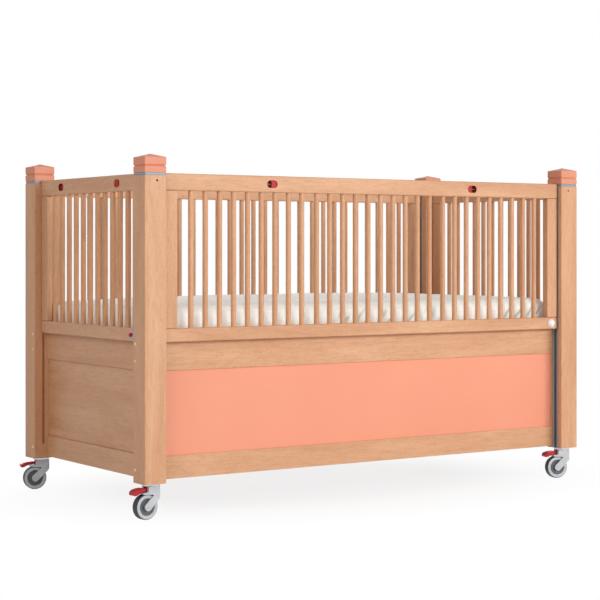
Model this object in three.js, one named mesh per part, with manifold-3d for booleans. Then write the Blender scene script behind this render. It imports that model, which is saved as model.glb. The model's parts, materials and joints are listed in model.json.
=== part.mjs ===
// A wooden hospital cot on casters: four capped corner posts, fixed lower panels, four barred sides that drop
// behind their latches, a mattress on a vented base board, and four braked swivel casters.
import * as THREE from 'three';
import { mergeVertices } from 'three/addons/utils/BufferGeometryUtils.js';
import Module from 'manifold-3d';

const wasm = await Module();
wasm.setup();

// Driving dimensions in millimetres. X runs along the cot, -Y is its front, Z is the height above the floor.

// Fits and clearances
const GAP = 0.3; // between pieces that touch
const SLIDE_FIT = 0.5; // each side of what slides in a guide
const PIN_FIT = 0.4; // round a pin, rod or axle that turns or slides
const SIDE_GAP = 4; // between a drop side's end and the post
const PANEL_CLEARANCE = 4.5; // between a drop side and the fixed panel behind it
const BOARD_FIT = 1; // round the base board in its rebate
const STOP_MARGIN = 12; // guide left below a lowered side

// Corner posts
const COT_LENGTH = 1640; // over the outer faces of the posts
const COT_WIDTH = 798; // over the outer faces of the posts
const POST_SIDE = 70;
const POST_EDGE = 3; // rounding of the upright edges
const BAND_THICKNESS = 7.5; // metal band under the cap
const BAND_INSET = 1.2; // behind the post's faces
const CAP_BASE = 16.5; // straight block under the groove
const CAP_GROOVE = 6.5; // height of the V groove
const CAP_GROOVE_DEPTH = 4;
const CAP_HEAD = 21; // straight block above the groove, up to the eaves
const CAP_ROOF = 10; // rise of the low pyramid

// Fixed lower panels
const BOTTOM_RAIL_RISE = 5; // above the foot of the post
const BOTTOM_RAIL_HEIGHT = 66;
const PANEL_OPENING = 244; // height of panel that shows between its rails
const UPPER_RAIL_HEIGHT = 110;
const PANEL_GROOVE = 9; // depth of the grooves that hold a panel
const LONG_RAIL_THICKNESS = 24;
const LONG_PANEL_RECESS = 4; // behind the face of its rails
const LONG_PANEL_THICKNESS = 8;
const END_RAIL_THICKNESS = 22;
const END_PANEL_RECESS = 7;
const END_PANEL_THICKNESS = 9;

// Base board and mattress
const BOARD_THICKNESS = 18;
const BOARD_LEDGE = 12; // width of the rebate that carries the board
const VENT_LENGTH = 90;
const VENT_WIDTH = 24;
const VENT_PITCH = 230;
const VENT_ROW = 150; // from the board's middle line
const MATTRESS_THICKNESS = 87;
const MATTRESS_SIDE_CLEARANCE = 12.5; // to the drop sides
const MATTRESS_END_CLEARANCE = 11.5; // to the drop ends
const MATTRESS_CORNER = 72; // radius of the corners seen from above
const MATTRESS_EDGE = 28; // radius of the long edges
const MATTRESS_CROWN = 14; // rise of the top from edge to middle
const MATTRESS_WAIST = 5; // how far the sides draw in between corners

// Barred drop sides
const LONG_SETBACK = 17.5; // behind the outer face of the posts
const LONG_THICKNESS = 24;
const END_SETBACK = 22.5;
const END_THICKNESS = 18;
const TOP_RAIL_HEIGHT = 49;
const LOWER_RAIL_HEIGHT = 39;
const RAIL_OVERLAP = 27; // of the raised lower rail in front of the fixed upper rail
const RAIL_EDGE = 4; // rounding of the rails' edges
const STILE_WIDTH = 42;
const BAR_DIAMETER = 16;
const BAR_LENGTH = 394; // between the rails
const BAR_PITCH = 48;
const BAR_GROUP_STEP = 54; // wider step between two groups of bars
const LONG_BAR_GROUPS = 3;
const LONG_BAR_MARGIN = 50; // from a stile to the first bar's axis
const END_BAR_GROUPS = 1;
const END_BAR_MARGIN = 43;
const DROP_TRAVEL = 340;

// Guides of the drop sides: metal channels for the long sides, plain grooves for the ends
const GUIDE_WIDTH = 30;
const GUIDE_DEPTH = 12;
const GUIDE_WALL = 2;
const GUIDE_SLOT = 13;
const END_GROOVE_WIDTH = 9;
const END_GROOVE_DEPTH = 10;
const SLIDER_LENGTH = 54; // upper guide blocks on the stiles
const SLIDER_MARGIN = 3; // from a guide block to the rail's edge

// Latches in the top rails
const LONG_WINDOW_FROM_POST = 368; // window centre to the post's inner face
const END_WINDOW_FROM_POST = 144;
const WINDOW_LENGTH = 37;
const WINDOW_HEIGHT = 23;
const FINGER_GAP = 14.5; // free part of the window beside the latch block
const POCKET_WALL = 4; // wood left over the latch pocket and behind the window
const BLOCK_TAIL = 2.5; // part of the block that stays behind the wood
const SCOOP_DEPTH = 4.5; // finger hollow in the block
const LATCH_TRAVEL = 12;
const ROD_DIAMETER = 6;
const ROD_OFFSET = 1; // behind the middle of the rail
const BOLT_REACH = 6; // of the rod's end into the post's guide

// Pull knob on each end's lower rail, and round cap on each long side's lower rail
const KNOB_FROM_POST = 47;
const KNOB_PLATE_RADIUS = 12.5;
const KNOB_PLATE_THICKNESS = 2;
const KNOB_RADIUS = 6;
const KNOB_LENGTH = 8;
const KNOB_PIN_DIAMETER = 6;
const CAP_FROM_END = 102; // cap centre to the cot's outer end
const CAP_RADIUS = 13.5;
const CAP_BULGE = 13;

// Casters
const WHEEL_DIAMETER = 73;
const WHEEL_WIDTH = 24;
const TREAD_WIDTH = 18; // flat part of the tread
const TREAD_SHOULDER = 3; // radial size of the shoulder
const RIM_RADIUS = 28; // inner edge of the tyre's side
const RIM_RECESS = 2; // hub disc behind the tyre's side
const AXLE_DIAMETER = 8;
const CASTER_INSET = 3.5; // swivel axis inward of the post's axis
const CASTER_TRAIL = 20; // axle behind the swivel axis
const HEAD_BUILD = 28.5; // wheel top to post foot
const PLATE_THICKNESS = 6;
const PLATE_RADIUS = 25.5;
const NECK_HEIGHT = 1.2;
const NECK_RADIUS = 18;
const HEAD_RADIUS = 26.5;
const HEAD_SKIRT = 28; // height of the head's front wall
const HOOD_BACK = 18; // head's upper back edge behind the swivel axis
const HOOD_DEPTH = 15; // head top to the mudguard's root
const HOOD_LEAN = 1.5; // of the head's back, down to the mudguard
const GUARD_REACH = 36; // mudguard's back edge behind the swivel axis
const GUARD_DROP = 17; // head top to the mudguard's back edge
const GUARD_EDGE = 4;
const ARM_CORNER = 24; // head top to the corner between hood and arm
const ARM_THICKNESS = 5;
const ARM_END_RADIUS = 11;
const FORK_CLEARANCE = 1; // each side of the wheel
const TYRE_CLEARANCE = 3; // fork over the tread
const PEDAL_PIVOT_BACK = 14; // pivot behind the swivel axis
const PEDAL_PIVOT_DROP = 9; // pivot below the head's top
const PEDAL_PIN_DIAMETER = 5;
const KNUCKLE_RADIUS = 6;
const KNUCKLE_FIT = 1; // round the knuckle in its pocket
const PEDAL_NECK_WIDTH = 16.8;
const PEDAL_NECK_THICKNESS = 7.5;
const PEDAL_NECK_LENGTH = 9;
const PEDAL_WIDTH = 30;
const PEDAL_REACH = 52; // pivot to toe
const PEDAL_HUMP = 5.5; // height of the curve's pull above the pivot
const PEDAL_TOE_TOP = 5; // toe's upper edge below the pivot
const PEDAL_TOE_FOOT = 14; // toe's lower edge below the pivot
const PEDAL_CORNER = 8;
const SWIVEL_REST = { front_left: 6, front_right: -16, rear_left: -15, rear_right: -8 }; // degrees

// Facets of round forms
const EDGE_FACETS = 2; // per quarter of a rounded edge
const BAR_FACETS = 10;
const ROD_FACETS = 10;
const DISC_FACETS = 20;
const WHEEL_FACETS = 24;
const ARC_FACETS = 8; // per half turn of slots and fork ends

// Heights that follow from the driving dimensions
const casterTop = WHEEL_DIAMETER + HEAD_BUILD;
const postFoot = casterTop + GAP;
const bottomRailFoot = postFoot + BOTTOM_RAIL_RISE;
const bottomRailTop = bottomRailFoot + BOTTOM_RAIL_HEIGHT;
const upperRailFoot = bottomRailTop + PANEL_OPENING;
const upperRailTop = upperRailFoot + UPPER_RAIL_HEIGHT;
const lowerRailFoot = upperRailTop - RAIL_OVERLAP;
const lowerRailTop = lowerRailFoot + LOWER_RAIL_HEIGHT;
const topRailFoot = lowerRailTop + BAR_LENGTH;
const bandTop = topRailFoot + TOP_RAIL_HEIGHT;
const postTop = bandTop - BAND_THICKNESS - GAP;
const endGrooveFoot = lowerRailFoot - DROP_TRAVEL - STOP_MARGIN;

// Plan positions that follow from the driving dimensions
const longClear = COT_LENGTH - 2 * POST_SIDE;
const endClear = COT_WIDTH - 2 * POST_SIDE;
const longPanelSetback = LONG_SETBACK + LONG_THICKNESS + PANEL_CLEARANCE;
const endPanelSetback = END_SETBACK + END_THICKNESS + PANEL_CLEARANCE;

const LONG_SIDE = {
  clear: longClear,
  outer: COT_WIDTH / 2,
  setback: LONG_SETBACK,
  thickness: LONG_THICKNESS,
  barGroups: LONG_BAR_GROUPS,
  barMargin: LONG_BAR_MARGIN,
  windowFromPost: LONG_WINDOW_FROM_POST,
  panelSetback: longPanelSetback,
  railThickness: LONG_RAIL_THICKNESS,
  panelRecess: LONG_PANEL_RECESS,
  panelThickness: LONG_PANEL_THICKNESS,
};
const END_SIDE = {
  clear: endClear,
  outer: COT_LENGTH / 2,
  setback: END_SETBACK,
  thickness: END_THICKNESS,
  barGroups: END_BAR_GROUPS,
  barMargin: END_BAR_MARGIN,
  windowFromPost: END_WINDOW_FROM_POST,
  panelSetback: endPanelSetback,
  railThickness: END_RAIL_THICKNESS,
  panelRecess: END_PANEL_RECESS,
  panelThickness: END_PANEL_THICKNESS,
};

// Materials
function finish(color, roughness, metalness = 0) {
  return new THREE.MeshStandardMaterial({ color, roughness, metalness });
}

const beech = finish(0xe0ae88, 0.5);
const coral = finish(0xf5a285, 0.45);
const cover = finish(0xe6e9ea, 0.6);
const steel = finish(0xaab2b8, 0.35, 0.9);
const aluminium = finish(0xb4b6b4, 0.4, 0.9);
const redPlastic = finish(0xb0303c, 0.4);
const greyPlastic = finish(0xc7ccd0, 0.45);
const tyreRubber = finish(0x56585a, 0.6);

// Solid modelling helpers
function solid(geometry) {
  const bare = geometry.clone();
  bare.deleteAttribute('normal');
  bare.deleteAttribute('uv');
  const merged = mergeVertices(bare, 1e-4);
  return new wasm.Manifold(new wasm.Mesh({
    numProp: 3,
    vertProperties: new Float32Array(merged.attributes.position.array),
    triVerts: new Uint32Array(merged.index.array),
  }));
}

function geometryOf(body) {
  const mesh = body.getMesh();
  const geometry = new THREE.BufferGeometry();
  geometry.setAttribute('position', new THREE.BufferAttribute(mesh.vertProperties, 3));
  geometry.setIndex(new THREE.BufferAttribute(mesh.triVerts, 1));
  const faceted = geometry.toNonIndexed();
  faceted.computeVertexNormals();
  return faceted;
}

function join(bodies) {
  return bodies.reduce((whole, body) => whole.add(body));
}

function cut(body, tools) {
  return tools.reduce((rest, tool) => rest.subtract(tool), body);
}

function box(x0, x1, y0, y1, z0, z1) {
  const geometry = new THREE.BoxGeometry(x1 - x0, y1 - y0, z1 - z0);
  geometry.translate((x0 + x1) / 2, (y0 + y1) / 2, (z0 + z1) / 2);
  return solid(geometry);
}

const X = new THREE.Vector3(1, 0, 0);
const Y = new THREE.Vector3(0, 1, 0);
const Z = new THREE.Vector3(0, 0, 1);

function extrude(shape, length, curveSegments) {
  return new THREE.ExtrudeGeometry(shape, { depth: length, bevelEnabled: false, curveSegments });
}

// A section drawn in (y, z), run along X
function alongX(shape, x0, x1, curveSegments = EDGE_FACETS) {
  const geometry = extrude(shape, x1 - x0, curveSegments);
  geometry.applyMatrix4(new THREE.Matrix4().makeBasis(Y, Z, X));
  return solid(geometry.translate(x0, 0, 0));
}

// A section drawn in (x, z), run along Y
function alongY(shape, y0, y1, curveSegments = ARC_FACETS) {
  const geometry = extrude(shape, y1 - y0, curveSegments);
  geometry.applyMatrix4(new THREE.Matrix4().makeBasis(X, Z, Y.clone().negate()));
  return solid(geometry.translate(0, y1, 0));
}

// A section drawn in (x, y), run along Z
function alongZ(shape, z0, z1, curveSegments = EDGE_FACETS) {
  return solid(extrude(shape, z1 - z0, curveSegments).translate(0, 0, z0));
}

function polygon(points) {
  return new THREE.Shape(points.map(([a, b]) => new THREE.Vector2(a, b)));
}

function roundedRectangle(a0, a1, b0, b1, radius) {
  const shape = new THREE.Shape();
  shape.moveTo(a0 + radius, b0);
  shape.absarc(a1 - radius, b0 + radius, radius, -Math.PI / 2, 0);
  shape.absarc(a1 - radius, b1 - radius, radius, 0, Math.PI / 2);
  shape.absarc(a0 + radius, b1 - radius, radius, Math.PI / 2, Math.PI);
  shape.absarc(a0 + radius, b0 + radius, radius, Math.PI, 1.5 * Math.PI);
  return shape;
}

// A slot with half-round ends, long in the first direction
function obround(a, b, length, height) {
  const radius = height / 2;
  const reach = length / 2 - radius;
  const shape = new THREE.Shape();
  shape.absarc(a + reach, b, radius, -Math.PI / 2, Math.PI / 2);
  shape.absarc(a - reach, b, radius, Math.PI / 2, 1.5 * Math.PI);
  return shape;
}

function rodAlongX(x0, x1, y, z, radius, facets = ROD_FACETS) {
  const geometry = new THREE.CylinderGeometry(radius, radius, x1 - x0, facets);
  geometry.rotateZ(-Math.PI / 2);
  return solid(geometry.translate((x0 + x1) / 2, y, z));
}

function rodAlongY(x, y0, y1, z, radius, facets = ROD_FACETS) {
  const geometry = new THREE.CylinderGeometry(radius, radius, y1 - y0, facets);
  return solid(geometry.translate(x, (y0 + y1) / 2, z));
}

function rodAlongZ(x, y, z0, z1, radius, facets) {
  const geometry = new THREE.CylinderGeometry(radius, radius, z1 - z0, facets);
  geometry.rotateX(Math.PI / 2);
  return solid(geometry.translate(x, y, (z0 + z1) / 2));
}

// A turned form whose profile of [radius, height] runs outward from the face at y, towards -Y
function turnedOutward(profile, x, y, z, facets) {
  const geometry = new THREE.LatheGeometry(profile.map(([r, h]) => new THREE.Vector2(r, h)), facets);
  geometry.rotateX(Math.PI);
  return solid(geometry.translate(x, y, z));
}

function piece(name, body, material) {
  const mesh = new THREE.Mesh(geometryOf(body), material);
  mesh.name = name;
  return mesh;
}

// Corner posts, drawn for the corner at +X +Y with the post's axis at the origin
const half = POST_SIDE / 2;
const guideLine = half - LONG_SETBACK - LONG_THICKNESS / 2;
const grooveLine = half - END_SETBACK - END_THICKNESS / 2;

function postBody() {
  const guideHalf = GUIDE_WIDTH / 2 + GAP;
  const guideRecess = box(
    -POST_SIDE, -half + GUIDE_DEPTH + GAP, guideLine - guideHalf, guideLine + guideHalf,
    postFoot - POST_EDGE, postTop + POST_EDGE,
  );
  const endGroove = box(
    grooveLine - END_GROOVE_WIDTH / 2, grooveLine + END_GROOVE_WIDTH / 2,
    -POST_SIDE, -half + END_GROOVE_DEPTH, endGrooveFoot, postTop + POST_EDGE,
  );
  const blank = alongZ(roundedRectangle(-half, half, -half, half, POST_EDGE), postFoot, postTop);
  return cut(blank, [guideRecess, endGroove]);
}

function bandBody() {
  const reach = half - BAND_INSET;
  return alongZ(roundedRectangle(-reach, reach, -reach, reach, POST_EDGE), postTop + GAP, bandTop);
}

// A grooved block with a low pyramid on top, square in plan
function capBody() {
  const foot = bandTop + GAP;
  const grooveFoot = foot + CAP_BASE;
  const headFoot = grooveFoot + CAP_GROOVE;
  const eaves = headFoot + CAP_HEAD;
  const apex = eaves + CAP_ROOF;
  const toCorner = Math.SQRT2;
  const profile = [
    [0, foot],
    [half, foot],
    [half, grooveFoot],
    [half - CAP_GROOVE_DEPTH, grooveFoot + CAP_GROOVE / 2],
    [half, headFoot],
    [half, eaves],
    [0, apex],
  ];
  const square = new THREE.LatheGeometry(profile.map(([r, z]) => new THREE.Vector2(r * toCorner, z)), 4);
  square.rotateY(Math.PI / 4);
  square.rotateX(Math.PI / 2);
  const outline = roundedRectangle(-half, half, -half, half, POST_EDGE);
  return solid(square).intersect(alongZ(outline, foot - CAP_BASE, apex + CAP_BASE));
}

// A C-shaped channel let into the post's inner face
function guideBody() {
  const face = -half;
  const back = face + GUIDE_DEPTH;
  const low = guideLine - GUIDE_WIDTH / 2;
  const high = guideLine + GUIDE_WIDTH / 2;
  const slotLow = guideLine - GUIDE_SLOT / 2;
  const slotHigh = guideLine + GUIDE_SLOT / 2;
  const section = polygon([
    [face, low],
    [back, low],
    [back, high],
    [face, high],
    [face, slotHigh],
    [face + GUIDE_WALL, slotHigh],
    [face + GUIDE_WALL, high - GUIDE_WALL],
    [back - GUIDE_WALL, high - GUIDE_WALL],
    [back - GUIDE_WALL, low + GUIDE_WALL],
    [face + GUIDE_WALL, low + GUIDE_WALL],
    [face + GUIDE_WALL, slotLow],
    [face, slotLow],
  ]);
  return alongZ(section, postFoot, postTop);
}

// Fixed lower panel of one side, seen with its outer face towards -Y
function fixedSide(side) {
  const face = side.panelSetback - side.outer;
  const back = face + side.railThickness;
  const end = side.clear / 2 - GAP;
  const panelFace = face + side.panelRecess;
  const panelBack = panelFace + side.panelThickness;
  const ledge = upperRailTop - BOARD_THICKNESS - GAP;
  const upperSection = polygon([
    [face, upperRailFoot],
    [panelFace - GAP, upperRailFoot],
    [panelFace - GAP, upperRailFoot + PANEL_GROOVE],
    [panelBack + GAP, upperRailFoot + PANEL_GROOVE],
    [panelBack + GAP, upperRailFoot],
    [back, upperRailFoot],
    [back, ledge],
    [back - BOARD_LEDGE, ledge],
    [back - BOARD_LEDGE, upperRailTop],
    [face, upperRailTop],
  ]);
  const bottomSection = polygon([
    [face, bottomRailFoot],
    [back, bottomRailFoot],
    [back, bottomRailTop],
    [panelBack + GAP, bottomRailTop],
    [panelBack + GAP, bottomRailTop - PANEL_GROOVE],
    [panelFace - GAP, bottomRailTop - PANEL_GROOVE],
    [panelFace - GAP, bottomRailTop],
    [face, bottomRailTop],
  ]);
  const panelFoot = bottomRailTop - PANEL_GROOVE + GAP;
  const panelTop = upperRailFoot + PANEL_GROOVE - GAP;
  return {
    upperRail: alongX(upperSection, -end, end),
    bottomRail: alongX(bottomSection, -end, end),
    panel: box(-end, end, panelFace, panelBack, panelFoot, panelTop),
  };
}

// Base board in the rebates of the upper rails, cut round the posts and vented in two rows
function boardBody() {
  const reachX = COT_LENGTH / 2 - endPanelSetback - END_RAIL_THICKNESS + BOARD_LEDGE - BOARD_FIT;
  const reachY = COT_WIDTH / 2 - longPanelSetback - LONG_RAIL_THICKNESS + BOARD_LEDGE - BOARD_FIT;
  const foot = upperRailTop - BOARD_THICKNESS;
  const under = foot - BOARD_THICKNESS;
  const over = upperRailTop + BOARD_THICKNESS;
  const cornerX = longClear / 2 - BOARD_FIT;
  const cornerY = endClear / 2 - BOARD_FIT;
  const tools = [];
  for (const sx of [-1, 1]) {
    for (const sy of [-1, 1]) {
      const xs = [sx * cornerX, sx * COT_LENGTH].sort((a, b) => a - b);
      const ys = [sy * cornerY, sy * COT_WIDTH].sort((a, b) => a - b);
      tools.push(box(...xs, ...ys, under, over));
    }
  }
  const vents = Math.floor((2 * cornerX - VENT_LENGTH) / VENT_PITCH) + 1;
  for (let i = 0; i < vents; i += 1) {
    const x = (i - (vents - 1) / 2) * VENT_PITCH;
    for (const row of [-VENT_ROW, VENT_ROW]) {
      tools.push(alongZ(obround(x, row, VENT_LENGTH, VENT_WIDTH), under, over, ARC_FACETS / 2));
    }
  }
  return cut(box(-reachX, reachX, -reachY, reachY, foot, upperRailTop), tools);
}

// Outline of the mattress in plan at some inset, with its sides drawn in between the corners
function mattressOutline(inset) {
  const reachX = COT_LENGTH / 2 - END_SETBACK - END_THICKNESS - MATTRESS_END_CLEARANCE;
  const reachY = COT_WIDTH / 2 - LONG_SETBACK - LONG_THICKNESS - MATTRESS_SIDE_CLEARANCE;
  const cornerSteps = 4;
  const sideSteps = { long: 8, short: 5 };
  const points = [];
  for (let quarter = 0; quarter < 4; quarter += 1) {
    const start = quarter * Math.PI / 2;
    const signX = quarter === 0 || quarter === 3 ? 1 : -1;
    const signY = quarter < 2 ? 1 : -1;
    const centreX = signX * (reachX - MATTRESS_CORNER);
    const centreY = signY * (reachY - MATTRESS_CORNER);
    const radius = MATTRESS_CORNER - inset;
    for (let i = 0; i <= cornerSteps; i += 1) {
      const angle = start + (i / cornerSteps) * Math.PI / 2;
      points.push(new THREE.Vector2(centreX + radius * Math.cos(angle), centreY + radius * Math.sin(angle)));
    }
    const alongLong = quarter % 2 === 0;
    const steps = alongLong ? sideSteps.long : sideSteps.short;
    for (let i = 1; i < steps; i += 1) {
      const t = (2 * i) / steps - 1;
      const drawn = MATTRESS_WAIST * Math.cos(t * Math.PI / 2);
      const x = alongLong ? -signX * t * (reachX - MATTRESS_CORNER) : signX * (reachX - inset - drawn);
      const y = alongLong ? signY * (reachY - inset - drawn) : -signY * t * (reachY - MATTRESS_CORNER);
      points.push(new THREE.Vector2(x, y));
    }
  }
  return points;
}

// A cushion with rounded edges, drawn-in sides and a crowned top, lofted through rings of the outline
function mattressBody() {
  const foot = upperRailTop + GAP;
  const top = foot + MATTRESS_THICKNESS;
  const shoulder = top - MATTRESS_CROWN;
  const rings = [];
  const edgeSteps = 3;
  for (let i = 0; i <= edgeSteps; i += 1) {
    const angle = (i / edgeSteps - 1) * Math.PI / 2;
    const inset = MATTRESS_EDGE * (1 - Math.cos(angle));
    const z = foot + MATTRESS_EDGE * (1 + Math.sin(angle));
    rings.push(mattressOutline(inset).map((p) => [p.x, p.y, z]));
  }
  for (let i = 0; i <= edgeSteps; i += 1) {
    const angle = (i / edgeSteps) * Math.PI / 2;
    const inset = MATTRESS_EDGE * (1 - Math.cos(angle));
    const z = shoulder - MATTRESS_EDGE * (1 - Math.sin(angle));
    rings.push(mattressOutline(inset).map((p) => [p.x, p.y, z]));
  }
  const crownSteps = 5;
  for (let i = 1; i < crownSteps; i += 1) {
    const scale = 1 - i / crownSteps;
    const z = shoulder + MATTRESS_CROWN * (1 - scale * scale);
    rings.push(mattressOutline(MATTRESS_EDGE).map((p) => [p.x * scale, p.y * scale, z]));
  }
  const count = rings[0].length;
  const positions = [...rings.flat(2), 0, 0, foot, 0, 0, top];
  const footCentre = rings.length * count;
  const topCentre = footCentre + 1;
  const index = [];
  for (let i = 0; i < count; i += 1) {
    const next = (i + 1) % count;
    index.push(footCentre, next, i);
    for (let ring = 0; ring < rings.length - 1; ring += 1) {
      const low = ring * count;
      const high = low + count;
      index.push(low + i, low + next, high + next);
      index.push(low + i, high + next, high + i);
    }
    const last = (rings.length - 1) * count;
    index.push(last + i, last + next, topCentre);
  }
  const geometry = new THREE.BufferGeometry();
  geometry.setAttribute('position', new THREE.Float32BufferAttribute(positions, 3));
  geometry.setIndex(index);
  return solid(geometry);
}

// Places of the bars along one side: even steps within a group, a wider step between groups
function barPlaces(side) {
  const opening = side.clear - 2 * SIDE_GAP - 2 * STILE_WIDTH;
  const run = opening - 2 * side.barMargin - (side.barGroups - 1) * BAR_GROUP_STEP;
  const steps = Math.round(run / BAR_PITCH);
  const bars = steps + side.barGroups;
  const pitch = run / steps;
  const outerGroup = Math.round(bars / side.barGroups);
  const places = [side.barMargin - opening / 2];
  for (let i = 1; i < bars; i += 1) {
    const opensGroup = side.barGroups > 1 && (i === outerGroup || i === bars - outerGroup);
    places.push(places[i - 1] + (opensGroup ? BAR_GROUP_STEP : pitch));
  }
  return places;
}

// Bars, stiles, lower rail and guide blocks of one drop side, framed up in one piece
function barredFrame(side, isEnd) {
  const face = side.setback - side.outer;
  const back = face + side.thickness;
  const middle = (face + back) / 2;
  const end = side.clear / 2 - SIDE_GAP;
  const root = lowerRailTop - LOWER_RAIL_HEIGHT / 2;
  const crown = topRailFoot - GAP;
  const bodies = [alongX(roundedRectangle(face, back, lowerRailFoot, lowerRailTop, RAIL_EDGE), -end, end)];
  for (const x of barPlaces(side)) {
    bodies.push(rodAlongZ(x, middle, root, crown, BAR_DIAMETER / 2, BAR_FACETS));
  }
  for (const sign of [-1, 1]) {
    const inner = sign * (end - STILE_WIDTH);
    const [x0, x1] = [inner, sign * end].sort((a, b) => a - b);
    bodies.push(alongZ(roundedRectangle(x0, x1, face, back, RAIL_EDGE / 2), root, crown));
    bodies.push(...guideBlocks(sign, end, middle, isEnd));
  }
  return join(bodies);
}

// Blocks on a stile and on the lower rail that run in the post's guide
function guideBlocks(sign, end, middle, isEnd) {
  const spans = [
    [lowerRailFoot + SLIDER_MARGIN, lowerRailTop - SLIDER_MARGIN],
    [topRailFoot - SLIDER_MARGIN - SLIDER_LENGTH, topRailFoot - SLIDER_MARGIN],
  ];
  const root = end - STILE_WIDTH / 4;
  const mouth = end + SIDE_GAP;
  const bodies = [];
  const block = (x0, x1, halfWidth, [z0, z1]) => {
    const [low, high] = [sign * x0, sign * x1].sort((a, b) => a - b);
    bodies.push(box(low, high, middle - halfWidth, middle + halfWidth, z0, z1));
  };
  for (const span of spans) {
    if (isEnd) {
      block(root, mouth + END_GROOVE_DEPTH - 2 * SLIDE_FIT, END_GROOVE_WIDTH / 2 - SLIDE_FIT, span);
    } else {
      const headFace = mouth + GUIDE_WALL + SLIDE_FIT;
      const headBack = mouth + GUIDE_DEPTH - GUIDE_WALL - SLIDE_FIT;
      block(root, headBack, GUIDE_SLOT / 2 - SLIDE_FIT, span);
      block(headFace, headBack, GUIDE_WIDTH / 2 - GUIDE_WALL - SLIDE_FIT, span);
    }
  }
  return bodies;
}

// Top rail with a finger window, a latch pocket and a rod bore towards each end
function topRailBody(side) {
  const face = side.setback - side.outer;
  const back = face + side.thickness;
  const middle = (face + back) / 2;
  const end = side.clear / 2 - SIDE_GAP;
  const height = topRailFoot + TOP_RAIL_HEIGHT / 2;
  const window = side.clear / 2 - side.windowFromPost;
  const pocketHalf = side.thickness / 2 - POCKET_WALL;
  const pocketEnd = window - WINDOW_LENGTH / 2 - BLOCK_TAIL - LATCH_TRAVEL - PIN_FIT;
  const windowArc = window + (WINDOW_LENGTH - WINDOW_HEIGHT) / 2;
  const tools = [];
  for (const sign of [-1, 1]) {
    const [x0, x1] = [sign * pocketEnd, sign * window].sort((a, b) => a - b);
    const [b0, b1] = [sign * windowArc, sign * (end + SIDE_GAP)].sort((a, b) => a - b);
    const opening = obround(sign * window, height, WINDOW_LENGTH, WINDOW_HEIGHT);
    tools.push(alongY(opening, face - GAP, middle + pocketHalf));
    tools.push(box(
      x0, x1, middle - pocketHalf, middle + pocketHalf,
      height - WINDOW_HEIGHT / 2, height + WINDOW_HEIGHT / 2,
    ));
    tools.push(rodAlongX(b0, b1, middle + ROD_OFFSET, height, ROD_DIAMETER / 2 + PIN_FIT));
  }
  const blank = alongX(roundedRectangle(face, back, topRailFoot, bandTop, RAIL_EDGE), -end, end);
  return cut(blank, tools);
}

// Latch block with its finger hollow and the rod that ends as a bolt in the post's guide, for the +X window
function latchBody(side) {
  const middle = side.setback - side.outer + side.thickness / 2;
  const height = topRailFoot + TOP_RAIL_HEIGHT / 2;
  const window = side.clear / 2 - side.windowFromPost;
  const halfDepth = side.thickness / 2 - POCKET_WALL - GAP;
  const halfHeight = WINDOW_HEIGHT / 2 - GAP;
  const tail = window - WINDOW_LENGTH / 2 - BLOCK_TAIL;
  const face = window + WINDOW_LENGTH / 2 - FINGER_GAP;
  const scoopRadius = (halfHeight ** 2 + SCOOP_DEPTH ** 2) / (2 * SCOOP_DEPTH);
  const scoop = rodAlongY(
    face + scoopRadius - SCOOP_DEPTH, middle - side.thickness, middle + side.thickness, height, scoopRadius,
    2 * DISC_FACETS,
  );
  const block = box(
    tail, face, middle - halfDepth, middle + halfDepth, height - halfHeight, height + halfHeight,
  );
  const tip = side.clear / 2 + BOLT_REACH;
  const rod = rodAlongX((tail + face) / 2, tip, middle + ROD_OFFSET, height, ROD_DIAMETER / 2);
  return cut(block, [scoop]).add(rod);
}

// Domed cap on a long side's lower rail
function capDome(side) {
  const face = side.setback - side.outer;
  const rim = CAP_BULGE / 2;
  const profile = [
    [0, -RAIL_EDGE], [CAP_RADIUS, -RAIL_EDGE], [CAP_RADIUS, rim],
    [0.75 * CAP_RADIUS, CAP_BULGE], [0, CAP_BULGE],
  ];
  const x = COT_LENGTH / 2 - CAP_FROM_END;
  return turnedOutward(profile, x, face, (lowerRailFoot + lowerRailTop) / 2, DISC_FACETS);
}

// Plate and bore of the pull knob on an end's lower rail, and the knob with its pin
function knobSeat(side) {
  const x = side.clear / 2 - KNOB_FROM_POST;
  const z = (lowerRailFoot + lowerRailTop) / 2;
  const face = side.setback - side.outer;
  const back = face + side.thickness;
  const front = face - KNOB_PLATE_THICKNESS;
  return {
    plate: rodAlongY(x, front, face + RAIL_EDGE, z, KNOB_PLATE_RADIUS, DISC_FACETS),
    bore: rodAlongY(x, front - GAP, back + GAP, z, KNOB_PIN_DIAMETER / 2 + PIN_FIT),
    knob: turnedOutward([
      [0, front - back],
      [KNOB_PIN_DIAMETER / 2, front - back],
      [KNOB_PIN_DIAMETER / 2, GAP],
      [KNOB_RADIUS, GAP],
      [KNOB_RADIUS, KNOB_LENGTH - KNOB_RADIUS / 3],
      [0.7 * KNOB_RADIUS, KNOB_LENGTH],
      [0, KNOB_LENGTH],
    ], x, front, z, ROD_FACETS),
  };
}

// Caster, drawn about its swivel axis with the wheel trailing towards -X
const axleHeight = WHEEL_DIAMETER / 2;
const headTop = casterTop - PLATE_THICKNESS - NECK_HEIGHT;
const pivot = { x: -PEDAL_PIVOT_BACK, z: headTop - PEDAL_PIVOT_DROP };
const slotHalf = WHEEL_WIDTH / 2 + FORK_CLEARANCE;
const forkHalf = slotHalf + ARM_THICKNESS;
const pocketHalfWidth = PEDAL_NECK_WIDTH / 2 + SLIDE_FIT;

// Angle at which a line from a point touches a circle, on one side or the other
function touchAngle(from, centre, radius, turn) {
  const towards = Math.atan2(from[1] - centre[1], from[0] - centre[0]);
  const distance = Math.hypot(from[0] - centre[0], from[1] - centre[1]);
  return towards + turn * Math.acos(radius / distance);
}

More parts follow.
